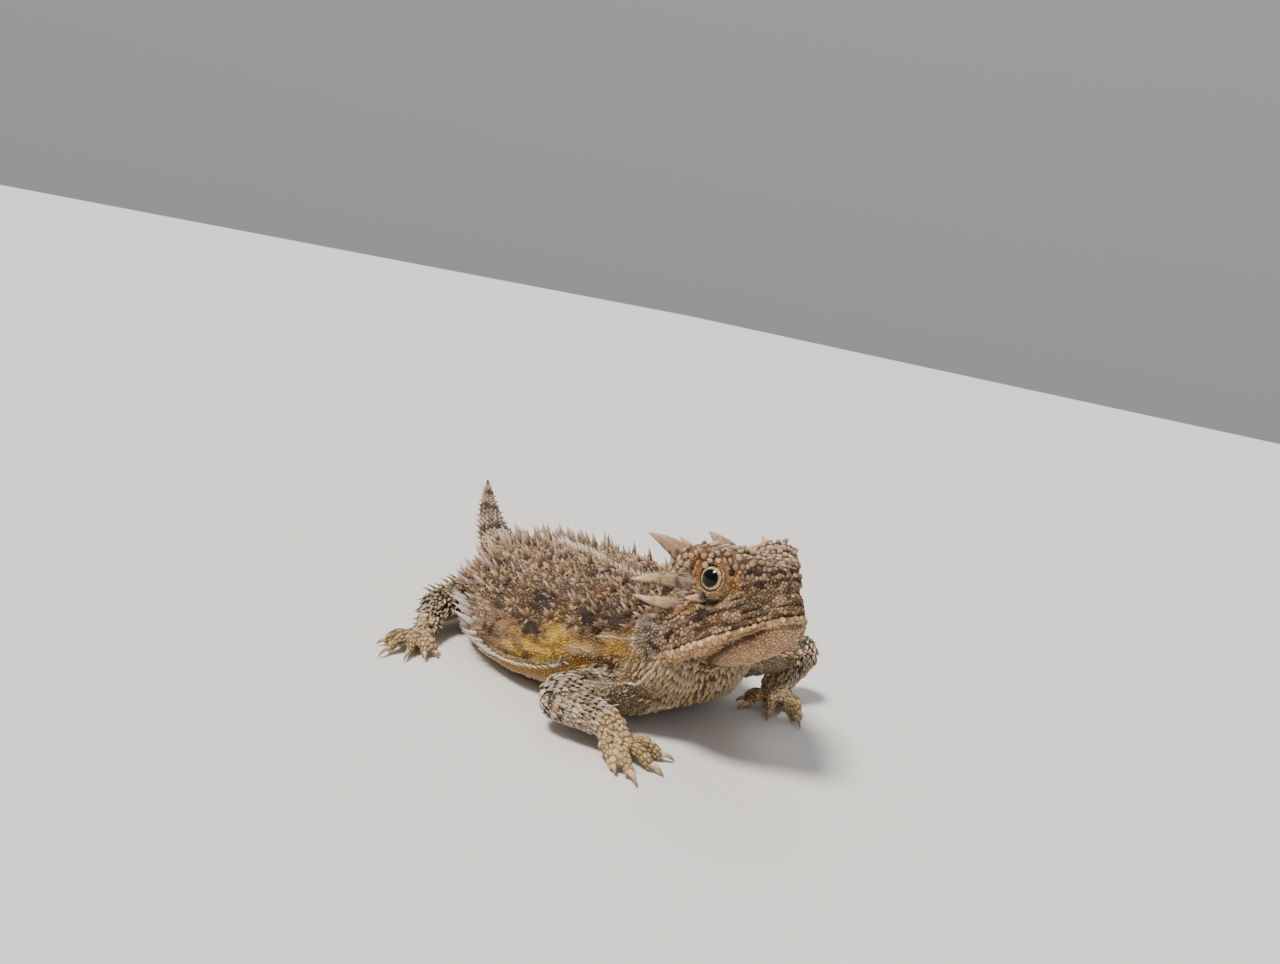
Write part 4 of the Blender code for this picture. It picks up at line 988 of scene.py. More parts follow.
def markings(points, label, share, turn):
    """The colour of skin and scales at each point."""
    colours = np.tile(np.array(TAN), (len(points), 1))
    for k in range(FOLD + 1):
        here = label == k
        if not here.any():
            continue
        spots, turns, shares = points[here], turn[here], share[here]
        name = {LID: "lid", FOLD: "fold"}.get(k) or FORMS[k].name
        if name in ("trunk", "neck"):
            colours[here] = (trunk_colours if name == "trunk" else neck_colours)(spots, turns)
        elif name in ("head", "lid", "fold"):
            colours[here] = {"head": head_colours, "lid": lid_colours, "fold": fold_colours}[name](spots)
        elif name == "tail":
            colours[here] = tail_colours(spots, shares, turns)
        elif name.startswith(("upper_arm", "forearm", "thigh", "shank")):
            colours[here] = limb_colours(spots, shares, turns, name.startswith(("upper", "fore")))
        else:
            colours[here] = foot_colours(spots, shares, name)
    return colours * WARMTH


# materials


class Finish:
    """A material or world with its shader, and nodes that are added to it and wired at once."""

    def __init__(self, data):
        data.use_nodes = True
        self.data, self.tree = data, data.node_tree
        self.place = self.add("TexCoord")

    def feed(self, node, inputs):
        """Sets inputs of a node: each is a value or the output of another node."""
        for name, value in inputs.items():
            if isinstance(value, bpy.types.NodeSocket):
                self.tree.links.new(value, node.inputs[name])
            else:
                node.inputs[name].default_value = value

    def add(self, kind, inputs=None, **settings):
        node = self.tree.nodes.new("ShaderNode" + kind)
        for name, value in settings.items():
            setattr(node, name, value)
        self.feed(node, inputs or {})
        return node

    def noise(self, size, detail=4.0, rough=0.55):
        inputs = {"Scale": 1 / (size * MM), "Detail": detail, "Roughness": rough}
        return self.add("TexNoise", {**inputs, "Vector": self.place.outputs["Object"]}).outputs["Fac"]

    def ramp(self, value, *stops):
        """A colour ramp over a value, through places each with a grey or a colour."""
        node = self.add("ValToRGB", {"Fac": value})
        for element, (place, shade) in zip(node.color_ramp.elements, stops):
            element.position = place
            element.color = (*shade, 1.0) if isinstance(shade, tuple) else (shade, shade, shade, 1.0)
        return node.outputs["Color"]

    def times(self, first, second):
        inputs = {"Factor": 1.0, "A": first, "B": second}
        return self.add("Mix", inputs, data_type="RGBA", blend_type="MULTIPLY").outputs["Result"]

    def bump(self, height, distance, strength, before=None):
        inputs = {"Strength": strength, "Distance": distance * MM, "Height": height}
        if before is not None:
            inputs["Normal"] = before
        return self.add("Bump", inputs).outputs["Normal"]

    def shade(self, tone, roughness, specular, normal=None):
        """Wires the shader and gives back the material."""
        inputs = {"Base Color": tone, "Roughness": roughness, "Specular IOR Level": specular}
        if normal is not None:
            inputs["Normal"] = normal
        self.feed(self.tree.nodes["Principled BSDF"], inputs)
        return self.data


def finish(name):
    """A new finish, and the tint painted on the mesh."""
    made_of = Finish(bpy.data.materials.new(name))
    return made_of, made_of.add("Attribute", attribute_name="tint").outputs["Color"]


def scaly_material(name, roughness, granule, relief, mottling):
    """Matt reptile skin: its markings come with the mesh, its fine grain and random darker mottling from noise, and
    painted shade in the grooves between the fine grains.
    """
    own, tint = finish(name)
    fine = own.noise(0.35, 5.0, 0.65)
    shade = own.ramp(fine, (0.28, 1 - mottling), (0.72, 1.16))
    wide = own.ramp(own.noise(3.0, 3.0), (0.3, (0.86, 0.84, 0.80)), (0.7, (1.08, 1.05, 1.02)))
    inputs = {"Scale": 1 / (granule * MM), "Vector": own.place.outputs["Object"]}
    cells = own.add("TexVoronoi", inputs).outputs["Distance"]
    # Painted shade: the colour darkens towards the voronoi cells' edges, in the grooves between the grains that the
    # bump raises.
    tone = own.times(own.times(own.times(tint, shade), wide), own.ramp(cells, (0.35, 1.0), (0.75, 0.62)))
    gloss = own.ramp(fine, (0.3, roughness - 0.1), (0.7, min(roughness + 0.12, 1.0)))
    return own.shade(tone, gloss, 0.32, own.bump(fine, 0.05, 0.4, own.bump(cells, relief, -0.5)))


def horn_material(name):
    own, tint = finish(name)
    fine = own.noise(0.5, 6.0, 0.6)
    tone = own.times(tint, own.ramp(fine, (0.3, 0.72), (0.7, 1.14)))
    return own.shade(tone, own.ramp(fine, (0.3, 0.42), (0.7, 0.62)), 0.4, own.bump(fine, 0.16, 0.8))


def eye_material(name):
    own, tint = finish(name)
    return own.shade(own.times(tint, own.ramp(own.noise(0.25), (0.35, 0.7), (0.7, 1.2))), 0.08, 0.25)


def floor_material(name):
    own = Finish(bpy.data.materials.new(name))
    tone = own.ramp(own.noise(60.0, 3.0), (0.3, (0.72, 0.70, 0.67)), (0.7, (0.76, 0.74, 0.71)))
    return own.shade(tone, 0.9, 0.2)


SKIN = scaly_material("skin", 0.74, 0.42, 0.22, 0.3)
COAT = scaly_material("coat", 0.68, 0.3, 0.08, 0.4)
HORN = horn_material("horn_surface")
EYE = eye_material("eye_surface")


# the coat


def spike_faces(rows, sides):
    """Triangles of a closed spike: rows of points from its base up, then its tip."""
    faces = [(0, k + 1, k) for k in range(1, sides - 1)]
    for low, low_after, high_after, high in tube_faces(rows, sides).tolist():
        faces += [(low, low_after, high_after), (low, high_after, high)]
    top = (rows - 1) * sides
    faces += [(top + k, top + (k + 1) % sides, rows * sides) for k in range(sides)]
    return np.array(faces)


# Shapes of one scale: points, faces, how pale each point is, and whether it is smooth. Paleness 0 takes the root
# colour, darkened as painted shade, and 1 the tip colour, partly painted highlight.
# A small keeled scale: front, left, right, raised tip and keel.
KEEL = (
    ((-0.5, 0, -0.15), (0.02, 0.5, -0.15), (0.02, -0.5, -0.15), (0.62, 0, 0.14), (0.08, 0, 0.36)),
    ((0, 2, 4), (2, 3, 4), (3, 1, 4), (1, 0, 4), (0, 1, 3), (0, 3, 2)),
    (0.0, 0.1, 0.1, 1.0, 0.75), False,
)
# A pointed scale with a keel, its tip lifted over the next one.
LEAF = (
    ((-0.5, 0, -0.2), (-0.25, 0.42, -0.2), (0.15, 0.44, -0.02), (0.72, 0, 0.3), (0.15, -0.44, -0.02),
     (-0.25, -0.42, -0.2), (-0.25, 0, 0.16), (0.2, 0, 0.34), (0.1, 0, -0.14)),
    ((1, 6, 0), (7, 6, 1), (2, 7, 1), (3, 7, 2), (4, 7, 3), (5, 7, 4), (6, 7, 5), (0, 6, 5),
     (8, 1, 0), (8, 2, 1), (8, 3, 2), (8, 4, 3), (8, 5, 4), (8, 0, 5)),
    (0, 0.15, 0.5, 1, 0.5, 0.15, 0.35, 0.9, 0.1), False,
)
# A rounded grain.
GRANULE = (
    [(0.5 * math.cos(a), 0.5 * math.sin(a), -0.2) for a in circle(6)]
    + [(0.38 * math.cos(a) + 0.03, 0.38 * math.sin(a), 0.16) for a in circle(6)] + [(0.08, 0, 0.34)],
    spike_faces(2, 6), [0.0] * 6 + [0.6] * 6 + [1.0], True,
)
PATCH = 0.0026  # size of one scale's patch in the bake map
LOWEST_SCALE = 0.05


class Coat:
    """Many small closed shapes on the parts of the skin with these labels, gathered into one mesh."""

    def __init__(self, *labels):
        self.labels = labels
        self.points, self.faces, self.colours, self.maps, self.smooth = [], [], [], [], []
        self.count = 0

    def add(self, shape, spots, size, base, tip, lies=None):
        """Copies of a shape: size holds a length, width and height for each."""
        corners, faces, pale = (np.array(part) for part in shape[:3])
        outs, lies = unit(spots.normals), spots.lie if lies is None else lies
        lies = unit(lies - outs * (lies * outs).sum(1, keepdims=True))
        local = corners[None] * size[:, None]
        points = spots.points[:, None] + local[..., :1] * lies[:, None]
        points = points + local[..., 1:2] * np.cross(outs, lies)[:, None] + local[..., 2:] * outs[:, None]
        shade = base[:, None] * (1 - pale[None, :, None]) + tip[:, None] * pale[None, :, None]
        self.gather(points, faces, shade, self.chart_of(spots), corners[:, :2], shape[3])

    def chart_of(self, spots):
        """Places in the bake map: one strip of it for each label, along by share and across by turn."""
        strip = np.array([self.labels.index(label) for label in spots.label])
        across = (strip + 0.03 + 0.94 * (spots.turn + 180) / 360) / len(self.labels)
        return np.stack([0.01 + 0.98 * spots.share, across], 1)

    def gather(self, points, faces, shade, charts, local, smooth):
        """Many shapes of the same faces, each mapped round its chart by its local coordinates."""
        many, corners = points.shape[:2]
        all_faces = faces[None] + (self.count + np.arange(many) * corners)[:, None, None]
        self.points.append(points.reshape(-1, 3))
        self.faces.append(all_faces.reshape(-1, 3))
        self.colours.append(shade.reshape(-1, 3))
        self.maps.append((charts[:, None] + local[None] * PATCH).reshape(-1, 2))
        self.smooth.append(np.full(many * len(faces), smooth))
        self.count += many * corners

    def thorns(self, spots, lies, lengths, widths, lean, flat, tones, sides=6, rows=5):
        """Curved spines: lean is how far the tip bends over, flat how thin they are against their width."""
        if not len(spots):
            return
        base, middle, tip = tones
        outs, lies = unit(spots.normals), unit(lies)
        across = unit(np.cross(lies, outs) + 1e-6)
        points, shades = np.empty((2, len(spots), rows * sides + 1, 3))
        angle = circle(sides)
        lengths, widths = np.asarray(lengths)[:, None], np.asarray(widths)[:, None]

        def middle_at(share):
            rise = -0.35 + lengths * share * (1 - lean * 0.5 * share)
            return spots.points + outs * rise + lies * lengths * lean * share**2

        for row, share in enumerate(np.linspace(0, 0.86, rows)):
            centre = middle_at(share)
            over = unit(np.cross(across, unit(middle_at(share + 0.05) - centre)))
            radius = widths * 0.5 * ((1 - share) ** 0.75 * (1.12 if row == 0 else 1.0))
            for k, a in enumerate(angle):
                ridge = 1.12 if k % 2 else 0.92
                offset = across * math.cos(a) * ridge + over * math.sin(a) * flat * ridge
                points[:, row * sides + k] = centre + offset * radius
            level, end = smooth_step(0.0, 0.35, share), smooth_step(0.35, 0.9, share)
            paint = (base * (1 - level) + middle * level) * (1 - end) + tip * end
            shades[:, row * sides : (row + 1) * sides] = paint[:, None]
        points[:, -1], shades[:, -1] = middle_at(1.0), tip
        faces = spike_faces(rows, sides)
        probe = points[0][faces]
        if (np.cross(probe[:, 0], probe[:, 1]) * probe[:, 2]).sum() < 0:
            faces = faces[:, ::-1]
        spread = np.repeat(np.linspace(-0.5, 0.5, rows), sides)
        local = np.stack([spread, np.tile(angle / (2 * math.pi) - 0.5, rows)], 1)
        self.gather(points, faces, shades, self.chart_of(spots), np.concatenate([local, [(0.5, 0)]]), False)

    def make(self, name, slot, surface=COAT):
        points, faces = np.concatenate(self.points), np.concatenate(self.faces)
        points[:, 2] = np.maximum(points[:, 2], LOWEST_SCALE)
        mesh = bpy.data.meshes.new(name)
        mesh.vertices.add(len(points))
        mesh.loops.add(faces.size)
        mesh.polygons.add(len(faces))
        mesh.vertices.foreach_set("co", (points * MM).astype(np.float32).ravel())
        mesh.loops.foreach_set("vertex_index", faces.astype(np.int32).ravel())
        mesh.polygons.foreach_set("loop_start", np.arange(0, faces.size, 3, dtype=np.int32))
        mesh.update(calc_edges=True)
        mesh.polygons.foreach_set("use_smooth", np.concatenate(self.smooth))
        painted(mesh, np.concatenate(self.colours))
        chart = np.clip(np.concatenate(self.maps), 0.0005, 0.9995)
        layer = mesh.uv_layers.new(name="OFBake")
        layer.data.foreach_set("uv", chart[faces.ravel()].astype(np.float32).ravel())
        mesh.validate()
        mesh.materials.append(surface)
        obj = linked(name, mesh)
        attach(obj, "root")
        print(name, len(faces), "triangles")


def mosaic(coat, spots, spacing, height, gap, dark=0.35, pale=0.2, sides=9, spread=0.22):
    """Low shields that fill the skin between them, each as wide as its neighbours leave it room."""
    near, far = 9, 1e3
    tree = tree_of(spots.points)
    across = np.cross(spots.normals, spots.lie)
    neighbours = [([f[1] for f in tree.find_n(p, near + 1)[1:]] + [k] * near)[:near]
                  for k, p in enumerate(spots.points)]
    way = spots.points[np.array(neighbours)] - spots.points[:, None]
    flat = np.stack([(way * spots.lie[:, None]).sum(2), (way * across[:, None]).sum(2)], 2)
    length = np.linalg.norm(flat, axis=2)
    length[length < 1e-6] = far
    angle = circle(sides) + RNG.random((len(spots), 1)) * 0.7
    ray = np.stack([np.cos(angle), np.sin(angle)], 2)
    facing = (flat[:, :, None] * ray[:, None]).sum(3) / length[..., None]
    reach = np.where(facing > 0.05, length[..., None] / 2 / np.maximum(facing, 0.05), far).min(1)
    reach = np.maximum(np.minimum(reach, spacing * 0.85) - gap / 2, spacing * 0.2)
    base, tip = shades_of(spots, dark, pale, spread)
    height = np.broadcast_to(height, (len(spots),))
    rings, tints = [], []
    # Each shield's rim takes the root colour, darkened as painted shade in the gaps, and its top the paler tip
    # colour, partly painted highlight.
    for out, lift, tone in ((1.0, -0.25, 0.0), (0.97, 0.45, 0.45), (0.72, 0.9, 0.9)):
        spot = (spots.lie[:, None] * ray[..., :1] + across[:, None] * ray[..., 1:]) * (reach * out)[..., None]
        rise = np.where(lift > 0, height * lift, lift)
        rings.append(spots.points[:, None] + spot + spots.normals[:, None] * rise[:, None, None])
        tints.append(np.repeat((base * (1 - tone) + tip * tone)[:, None], sides, 1))
    top = spots.points + spots.normals * height[:, None] + spots.lie * 0.05
    local = np.stack([np.cos(circle(sides)), np.sin(circle(sides))], 1) * 0.5
    coat.gather(
        np.concatenate([*rings, top[:, None]], 1), spike_faces(3, sides), np.concatenate([*tints, tip[:, None]], 1),
        coat.chart_of(spots), np.concatenate([local, local * 0.9, local * 0.6, np.zeros((1, 2))]), True,
    )


class Spots:
    """Places on the skin: point, outward direction, label, share, turn and direction of the scale there."""

    def __init__(self, points, normals, label):
        self.points, self.normals, self.label = points, normals, np.broadcast_to(label, (len(points),))
        self.share, self.turn, run = place_on_forms(points, self.label)
        self.lie = unit(run - normals * (run * normals).sum(1, keepdims=True))

    def only(self, keep):
        part = Spots.__new__(Spots)
        part.__dict__ = {key: value[keep] for key, value in self.__dict__.items()}
        return part

    def with_more(self, more, gap):
        """These spots and those of more that stand further than the gap from all of them."""
        tree = tree_of(self.points)
        far = [not len(self) or tree.find(point)[2] > gap for point in more.points]
        both, more = Spots.__new__(Spots), more.only(np.array(far, bool))
        both.__dict__ = {key: np.concatenate([value, more.__dict__[key]]) for key, value in self.__dict__.items()}
        return both

    def __len__(self):
        return len(self.points)


def scattered(skin, keep, spacing, crowd=3.6):
    """Spots spread over the chosen triangles of the skin, none nearer to another than the spacing."""
    triangles = skin.triangles[keep]
    a, b, c = (skin.points[triangles[:, k]] for k in range(3))
    area = np.linalg.norm(np.cross(b - a, c - a), axis=1) / 2
    count = int(area.sum() * crowd / spacing**2)
    pick = RNG.choice(len(triangles), count, p=area / area.sum())
    u, v = RNG.random(count), RNG.random(count)
    fold = u + v > 1
    u[fold], v[fold] = 1 - u[fold], 1 - v[fold]
    weights = np.stack([1 - u - v, u, v], 1)[..., None]
    corners = triangles[pick]
    points = (skin.points[corners] * weights).sum(1)
    cells, kept, limit = {}, [], spacing**2
    keys = np.floor(points / spacing).astype(int).tolist()
    around = [(i, j, k) for i in (-1, 0, 1) for j in (-1, 0, 1) for k in (-1, 0, 1)]
    for index, ((x, y, z), key) in enumerate(zip(points.tolist(), keys)):
        near = (cells.get((key[0] + i, key[1] + j, key[2] + k), ()) for i, j, k in around)
        if not any((x - p) ** 2 + (y - q) ** 2 + (z - r) ** 2 < limit for cell in near for p, q, r in cell):
            cells.setdefault(tuple(key), []).append((x, y, z))
            kept.append(index)
    kept = np.array(kept, int)
    normals = unit((skin.normals[corners[kept]] * weights[kept]).sum(1))
    return Spots(points[kept], normals, skin.label[corners[kept][:, 0]])


def rows_on(skin, form, step_along, step_round, start=0.0):
    """Spots in staggered rows round a form from a share on, where its surface is the skin's."""
    length = np.linalg.norm(np.diff(form.middle, axis=0), axis=1).sum()
    rows = max(2, int(length * (1.0 - start) / step_along))
    hits = []
    for row in range(rows + 1):
        share = start + (1.0 - start) * row / rows
        reach = form.reach[min(int(share * (len(form.middle) - 1)), len(form.middle) - 1)]
        count = max(5, int(2 * math.pi * reach.mean() / step_round))
        turn = (np.arange(count) + 0.5 * (row % 2) + RNG.uniform(-0.1, 0.1, count)) * 360 / count - 180
        outer, arm = form.spot(np.clip(share + RNG.uniform(-0.15, 0.15, count) / rows, 0, 1), turn, 1.45)
        for begin, ray in zip(outer, -unit(arm)):
            hits.append(skin.bvh.ray_cast(Vector(begin), Vector(ray), 6.0 + reach.max()))
    points, normals = (np.array([tuple(hit[k]) for hit in hits if hit[0] is not None]) for k in (0, 1))
    found = skin.label_of(points) == LABELS[form.name]
    return Spots(points[found], normals[found], LABELS[form.name])


def shades_of(spots, dark=0.3, pale=0.22, spread=0.22):
    """The root and tip colours of scales at spots: the root is the marking darkened as painted shade in the gaps
    between scales, and the tip is paler, partly the scales' own pale tips and partly painted highlight.
    """
    tone = markings(spots.points, spots.label, spots.share, spots.turn)
    tone = tone * RNG.uniform(1 - spread, 1 + spread, (len(spots), 1))
    tone = tone * np.where(RNG.random((len(spots), 1)) < 0.12, 0.6, 1.0)
    bright = smooth_step(0.02, 0.2, tone @ np.array((0.3, 0.59, 0.11)))
    pale = pale * RNG.uniform(0.2, 1.8, len(spots)) * bright
    # Painted shade at the root (dark times the marking); the brighter tip is partly own colour and partly painted
    # highlight.
    return tone * dark, mixed(tone * (1 + 0.4 * bright[:, None]), np.array(IVORY) * 1.25, pale)


def settled(skin, points, label):
    """The nearest places on the skin to points of a form."""
    found = [skin.bvh.find_nearest(Vector(p)) for p in points]
    return Spots(*(np.array([tuple(f[k]) for f in found]) for k in (0, 1)), label)


# building the animal

# Rows of tall spines along the back: turn, step between them, length.
BACK_ROWS = ((78.0, 5.6, 3.2), (60.0, 6.0, 3.0), (43.0, 5.4, 2.7), (27.0, 5.0, 2.4))
MIDLINE_TURN = 92.0
BACK_LEVEL, BELLY_LEVEL = 22, -40  # where the flank ends above and below, in degrees from its widest line


def on_trunk(x, turn):
    """Points on the trunk's form at x and turn: 0 degrees is the left flank, 90 the top."""
    form = FORMS[TRUNK_LABEL]
    start, end = form.middle[0, 0], form.middle[-1, 0]
    return form.spot((start - np.asarray(x)) / (start - end), np.asarray(turn))[0]


def back_spots(skin):
    """The roots of the tall spines, in rows along the back, and their lengths."""
    points, lengths = [], []
    for row, (turn, step, length) in enumerate(BACK_ROWS):
        for side_turn in (turn, 180 - turn):
            x = TRUNK_FRONT - 1.6 - step * 0.5 * (row % 2)
            while x > TRUNK_REAR + 2.5:
                points.append((x + RNG.uniform(-0.7, 0.7), side_turn + RNG.uniform(-3, 3)))
                lengths.append(length * RNG.uniform(0.85, 1.12))
                x -= step * RNG.uniform(0.88, 1.12)
    return settled(skin, on_trunk(*np.array(points).T), TRUNK_LABEL), np.array(lengths)


def leaning(spots, back, up, out):
    """Lie directions backwards, upwards and outwards."""
    return spots.lie * back + np.array((0, 0, up)) + spots.normals * out


def spine_colours(count, dark=1.0):
    """Root, middle and tip colours of spines."""
    vary = RNG.uniform(0.8, 1.15, (count, 1))
    root = mixed(colour(58, 42, 33), colour(104, 78, 58), RNG.random(count)) * dark
    middle = mixed(colour(120, 94, 76), colour(176, 148, 124), RNG.random(count)) * vary
    tip = mixed(colour(196, 170, 146), colour(236, 220, 200), RNG.random(count)) * vary
    return root * WARMTH, middle * WARMTH, tip * WARMTH


def add_spines(coat, spots, lies, lengths, widths, lean, flat, dark=1.0, sides=6, rows=5):
    """Brown spines with pale tips: dark is the strength of the colour at their roots."""
    coat.thorns(spots, lies, lengths, widths, lean, flat, spine_colours(len(spots), dark), sides, rows)


def add_scales(coat, shape, spots, size, dark=0.5, pale=0.22, vary=0.18):
    """Scales of one shape at spots, lying along the body's run: size is their length, width and height."""
    many = len(spots)
    size = np.stack([np.broadcast_to(v, (many,)) for v in size], 1) * RNG.uniform(1 - vary, 1 + vary, (many, 1))
    base, tip = shades_of(spots, dark, pale)
    lies = spots.lie + np.cross(spots.normals, spots.lie) * RNG.normal(0, 0.14, (many, 1))
    coat.add(shape, spots, size, base, tip, lies)


def cover(coat, skin, keep, spacing, shape, size, dark, pale):
    """Scales of one shape scattered over the chosen triangles of the skin."""
    add_scales(coat, shape, scattered(skin, keep, spacing), size, dark, pale)


def coat_of_trunk(skin):
    here, level = skin.on(TRUNK_LABEL), skin.level
    left = skin.at_triangles(skin.points)[:, 1] > -2.0
    for name, side in (("coat_trunk_R", here & ~left), ("coat_trunk_L", here & left)):
        coat = Coat(TRUNK_LABEL)
        back = scattered(skin, side & (level > BACK_LEVEL), 0.56)
        big = RNG.random(len(back)) < 0.14 * smooth_step(24, 50, from_flank(back.turn))
        add_scales(coat, KEEL, back.only(~big), (0.78, 0.62, 0.66), 0.3, 0.2)
        add_scales(coat, LEAF, back.only(big), (1.3, 0.95, 1.0), 0.25, 0.5)
        low = scattered(skin, side & (level <= BACK_LEVEL) & (level > -8), 1.7)
        low = low.only(low.points[:, 0] < RNG.uniform(-6, 0, len(low)))
        add_scales(coat, LEAF, low, (1.6, 1.0, 1.5), 0.3, 0.6, 0.25)
        flank = side & (level <= BACK_LEVEL) & (level > BELLY_LEVEL)
        cover(coat, skin, flank, 0.46, KEEL, (0.66, 0.52, 0.5), 0.55, 0.3)
        cover(coat, skin, side & (level <= BELLY_LEVEL), 1.0, LEAF, (1.3, 1.05, 0.55), 0.45, 0.2)
        coat.make(name, "back_skin")


def spines_of_back(skin):
    here, level, coat = skin.on(TRUNK_LABEL), skin.level, Coat(TRUNK_LABEL)
    x = skin.at_triangles(skin.points)[:, 0]
    # The tall spines, lower near the middle of the rear, each with a ring of leaves round its root.
    spots, lengths = back_spots(skin)
    lengths = lengths * np.where((np.abs(spots.turn - 90) < 20) & (np.abs(spots.points[:, 0] + 15) < 13), 0.72, 1.0)
    widths = 0.95 + 0.12 * lengths
    add_spines(coat, spots, leaning(spots, 1, 0.3, 0.4), lengths * 1.08, widths, 0.5, 0.8, 1.0, 8, 7)
    rings = []
    for k in range(6):
        turn = k * math.pi / 3 + RNG.uniform(-0.2, 0.2, len(spots))
        across = np.cross(spots.normals, spots.lie)
        way = spots.lie * np.cos(turn)[:, None] + across * np.sin(turn)[:, None]
        rings.append(settled(skin, spots.points + way * 0.95, TRUNK_LABEL))
        rings[-1].lie = way
    for around in rings:
        base, tip = shades_of(around, 0.3, 0.5)
        size = np.tile((1.2, 0.95, 1.3), (len(around), 1)) * RNG.uniform(0.8, 1.15, (len(around), 1))
        coat.add(LEAF, around, size, base, tip)
    # Small spines between them, but none along the midline, and longer ones at the hips.
    small = scattered(skin, here & (level > 30), 2.1)
    size = RNG.uniform(0.9, 1.9, len(small)) * smooth_step(20, 48, from_flank(small.turn))
    clear = (size > 0.8) & (np.abs(small.turn - MIDLINE_TURN) > 9)
    small, size = small.only(clear), size[clear]
    add_spines(coat, small, leaning(small, 1, 0.2, 0.3), size, 0.5 + 0.2 * size, 0.6, 0.75, 1.0, 5, 4)
    hips = scattered(skin, here & (level > -12) & (x < -20), 2.2)
    size = RNG.uniform(1.6, 3.0, len(hips))
    add_spines(coat, hips, leaning(hips, 1, 0.25, 0.5), size, 0.6 + 0.2 * size, 0.6, 0.7, 1.2, 7, 6)
    # The white midline.
    places = np.arange(-29, 21, 1.15)
    turns = MIDLINE_TURN + RNG.uniform(-0.8, 0.8, len(places))
    line = settled(skin, on_trunk(places, turns), TRUNK_LABEL)
    base, tip = shades_of(line, 0.7, 0.6)
    pale = np.where((line.points[:, 0] < -2) & (line.points[:, 0] > -27), 1.0, 0.35)
    size = (1.2 + 0.9 * pale) * RNG.uniform(0.85, 1.1, len(line))
    tones = (base, mixed(tip, colour(240, 228, 210), 0.8 * pale), mixed(tip, colour(250, 240, 226), 0.9 * pale))
    coat.thorns(line, leaning(line, 1, 0.2, 0.1), size, 0.6 + 0.3 * size, 0.7, 0.7, tones, 7, 6)
    # Longer pale spines towards the rear.
    rear = scattered(skin, here & (level > -4) & (x < -6), 2.7)
    size = RNG.uniform(1.8, 3.4, len(rear)) * smooth_step(0, -24, rear.points[:, 0]) + 0.8
    base, middle, tip = spine_colours(len(rear), 1.1)
    tip = mixed(tip, colour(240, 220, 208), 0.7)
    tones = (base, mixed(middle, tip, 0.5), tip)
    coat.thorns(rear, leaning(rear, 1, 0.3, 0.6), size, 0.6 + 0.2 * size, 0.5, 0.6, tones, 7, 6)
    coat.make("spines_back", "back_skin")


# Length of the fringe's teeth, by x.
FRINGE_TEETH = ((-21, 2.0), (-17, 3.2), (-9, 3.6), (-4, 2.7), (2, 1.9), (14.6, 1.4))


def fringes(skin):
    """The white saw of flat pointed scales along each flank, and the small row below it."""
    coat = Coat(TRUNK_LABEL)
    for sign in SIDES.values():
        for lower in (False, True):
            x, places, sizes = FRINGE_TEETH[-1][0], [], []
            while x > FRINGE_TEETH[0][0]:
                size = line_at(FRINGE_TEETH, x) * RNG.uniform(0.8, 1.2)
                places.append(x)
                sizes.append(size * (0.5 if lower else 1.0))
                x -= (0.35 + 0.5 * size) * RNG.uniform(0.85, 1.1) * (0.7 if lower else 1.0)
            places, sizes, many = np.array(places), np.array(sizes), len(places)
            turns = line_at(FRINGE_LINE, places) - (14.0 if lower else -1.5)
            spots = settled(skin, on_trunk(places, turns if sign > 0 else 180 - turns), TRUNK_LABEL)
            spots.points[:, 2] = np.maximum(spots.points[:, 2], 0.7)
            rear = smooth_step(1, -7, places)
            spots.normals = spots.normals * np.array((0.5, 1, 0.5)) + np.array((0, 0, 0.3))
            rise = RNG.uniform(0.1, 0.4, many) + 0.3 * rear
            lie = np.stack([-0.9 + 0.1 * rear, (0.3 + 0.6 * rear) * sign, rise], 1)
            tip = np.array(colour(252, 250, 248)) * RNG.uniform(0.94, 1.05, (many, 1))
            # Painted shadow: towards the rear the teeth's roots turn dark brown, as the shadow at their lower edges.
            base = mixed(np.tile(colour(214, 198, 176), (many, 1)), colour(84, 62, 44), rear)
            if lower:
                tip = mixed(tip, colour(190, 158, 104), 0.6)
            tones = (base, mixed(tip, colour(206, 182, 150), 0.15), tip)
            coat.thorns(spots, lie, sizes, 0.3 + 0.2 * sizes + 0.4 * rear, 0.75, 0.65, tones, 8, 6)
    coat.make("fringe", "back_skin")


def ridge_lines(skin):
    """Small pale scales in a line along each ridge of the shoulders."""
    coat = Coat(*range(FOLD + 1))
    for path, _, _ in RIDGES:
        path = np.array(path)
        far = np.concatenate([[0], np.cumsum(np.linalg.norm(np.diff(path, axis=0), axis=1))])
        at = np.arange(0, far[-1], 0.42)
        line = np.stack([np.interp(at, far, path[:, axis]) for axis in range(3)], 1)
        way = unit(np.gradient(line, axis=0))
        middle_y = line_at(TRUNK, line[:, 0])
        for sign in SIDES.values():
            points = line.copy()
            points[:, 1] = middle_y + (line[:, 1] - middle_y) * -sign
            spots = settled(skin, points + RNG.normal(0, 0.06, points.shape), TRUNK_LABEL)
            spots = Spots(spots.points, spots.normals, skin.label_of(spots.points))
            spots.lie = -way * np.array((1, -sign, 1))
            add_scales(coat, LEAF, spots, (1.15, 0.62, 1.0), 0.5, 0.7, 0.2)
    coat.make("coat_ridges", "back_skin")


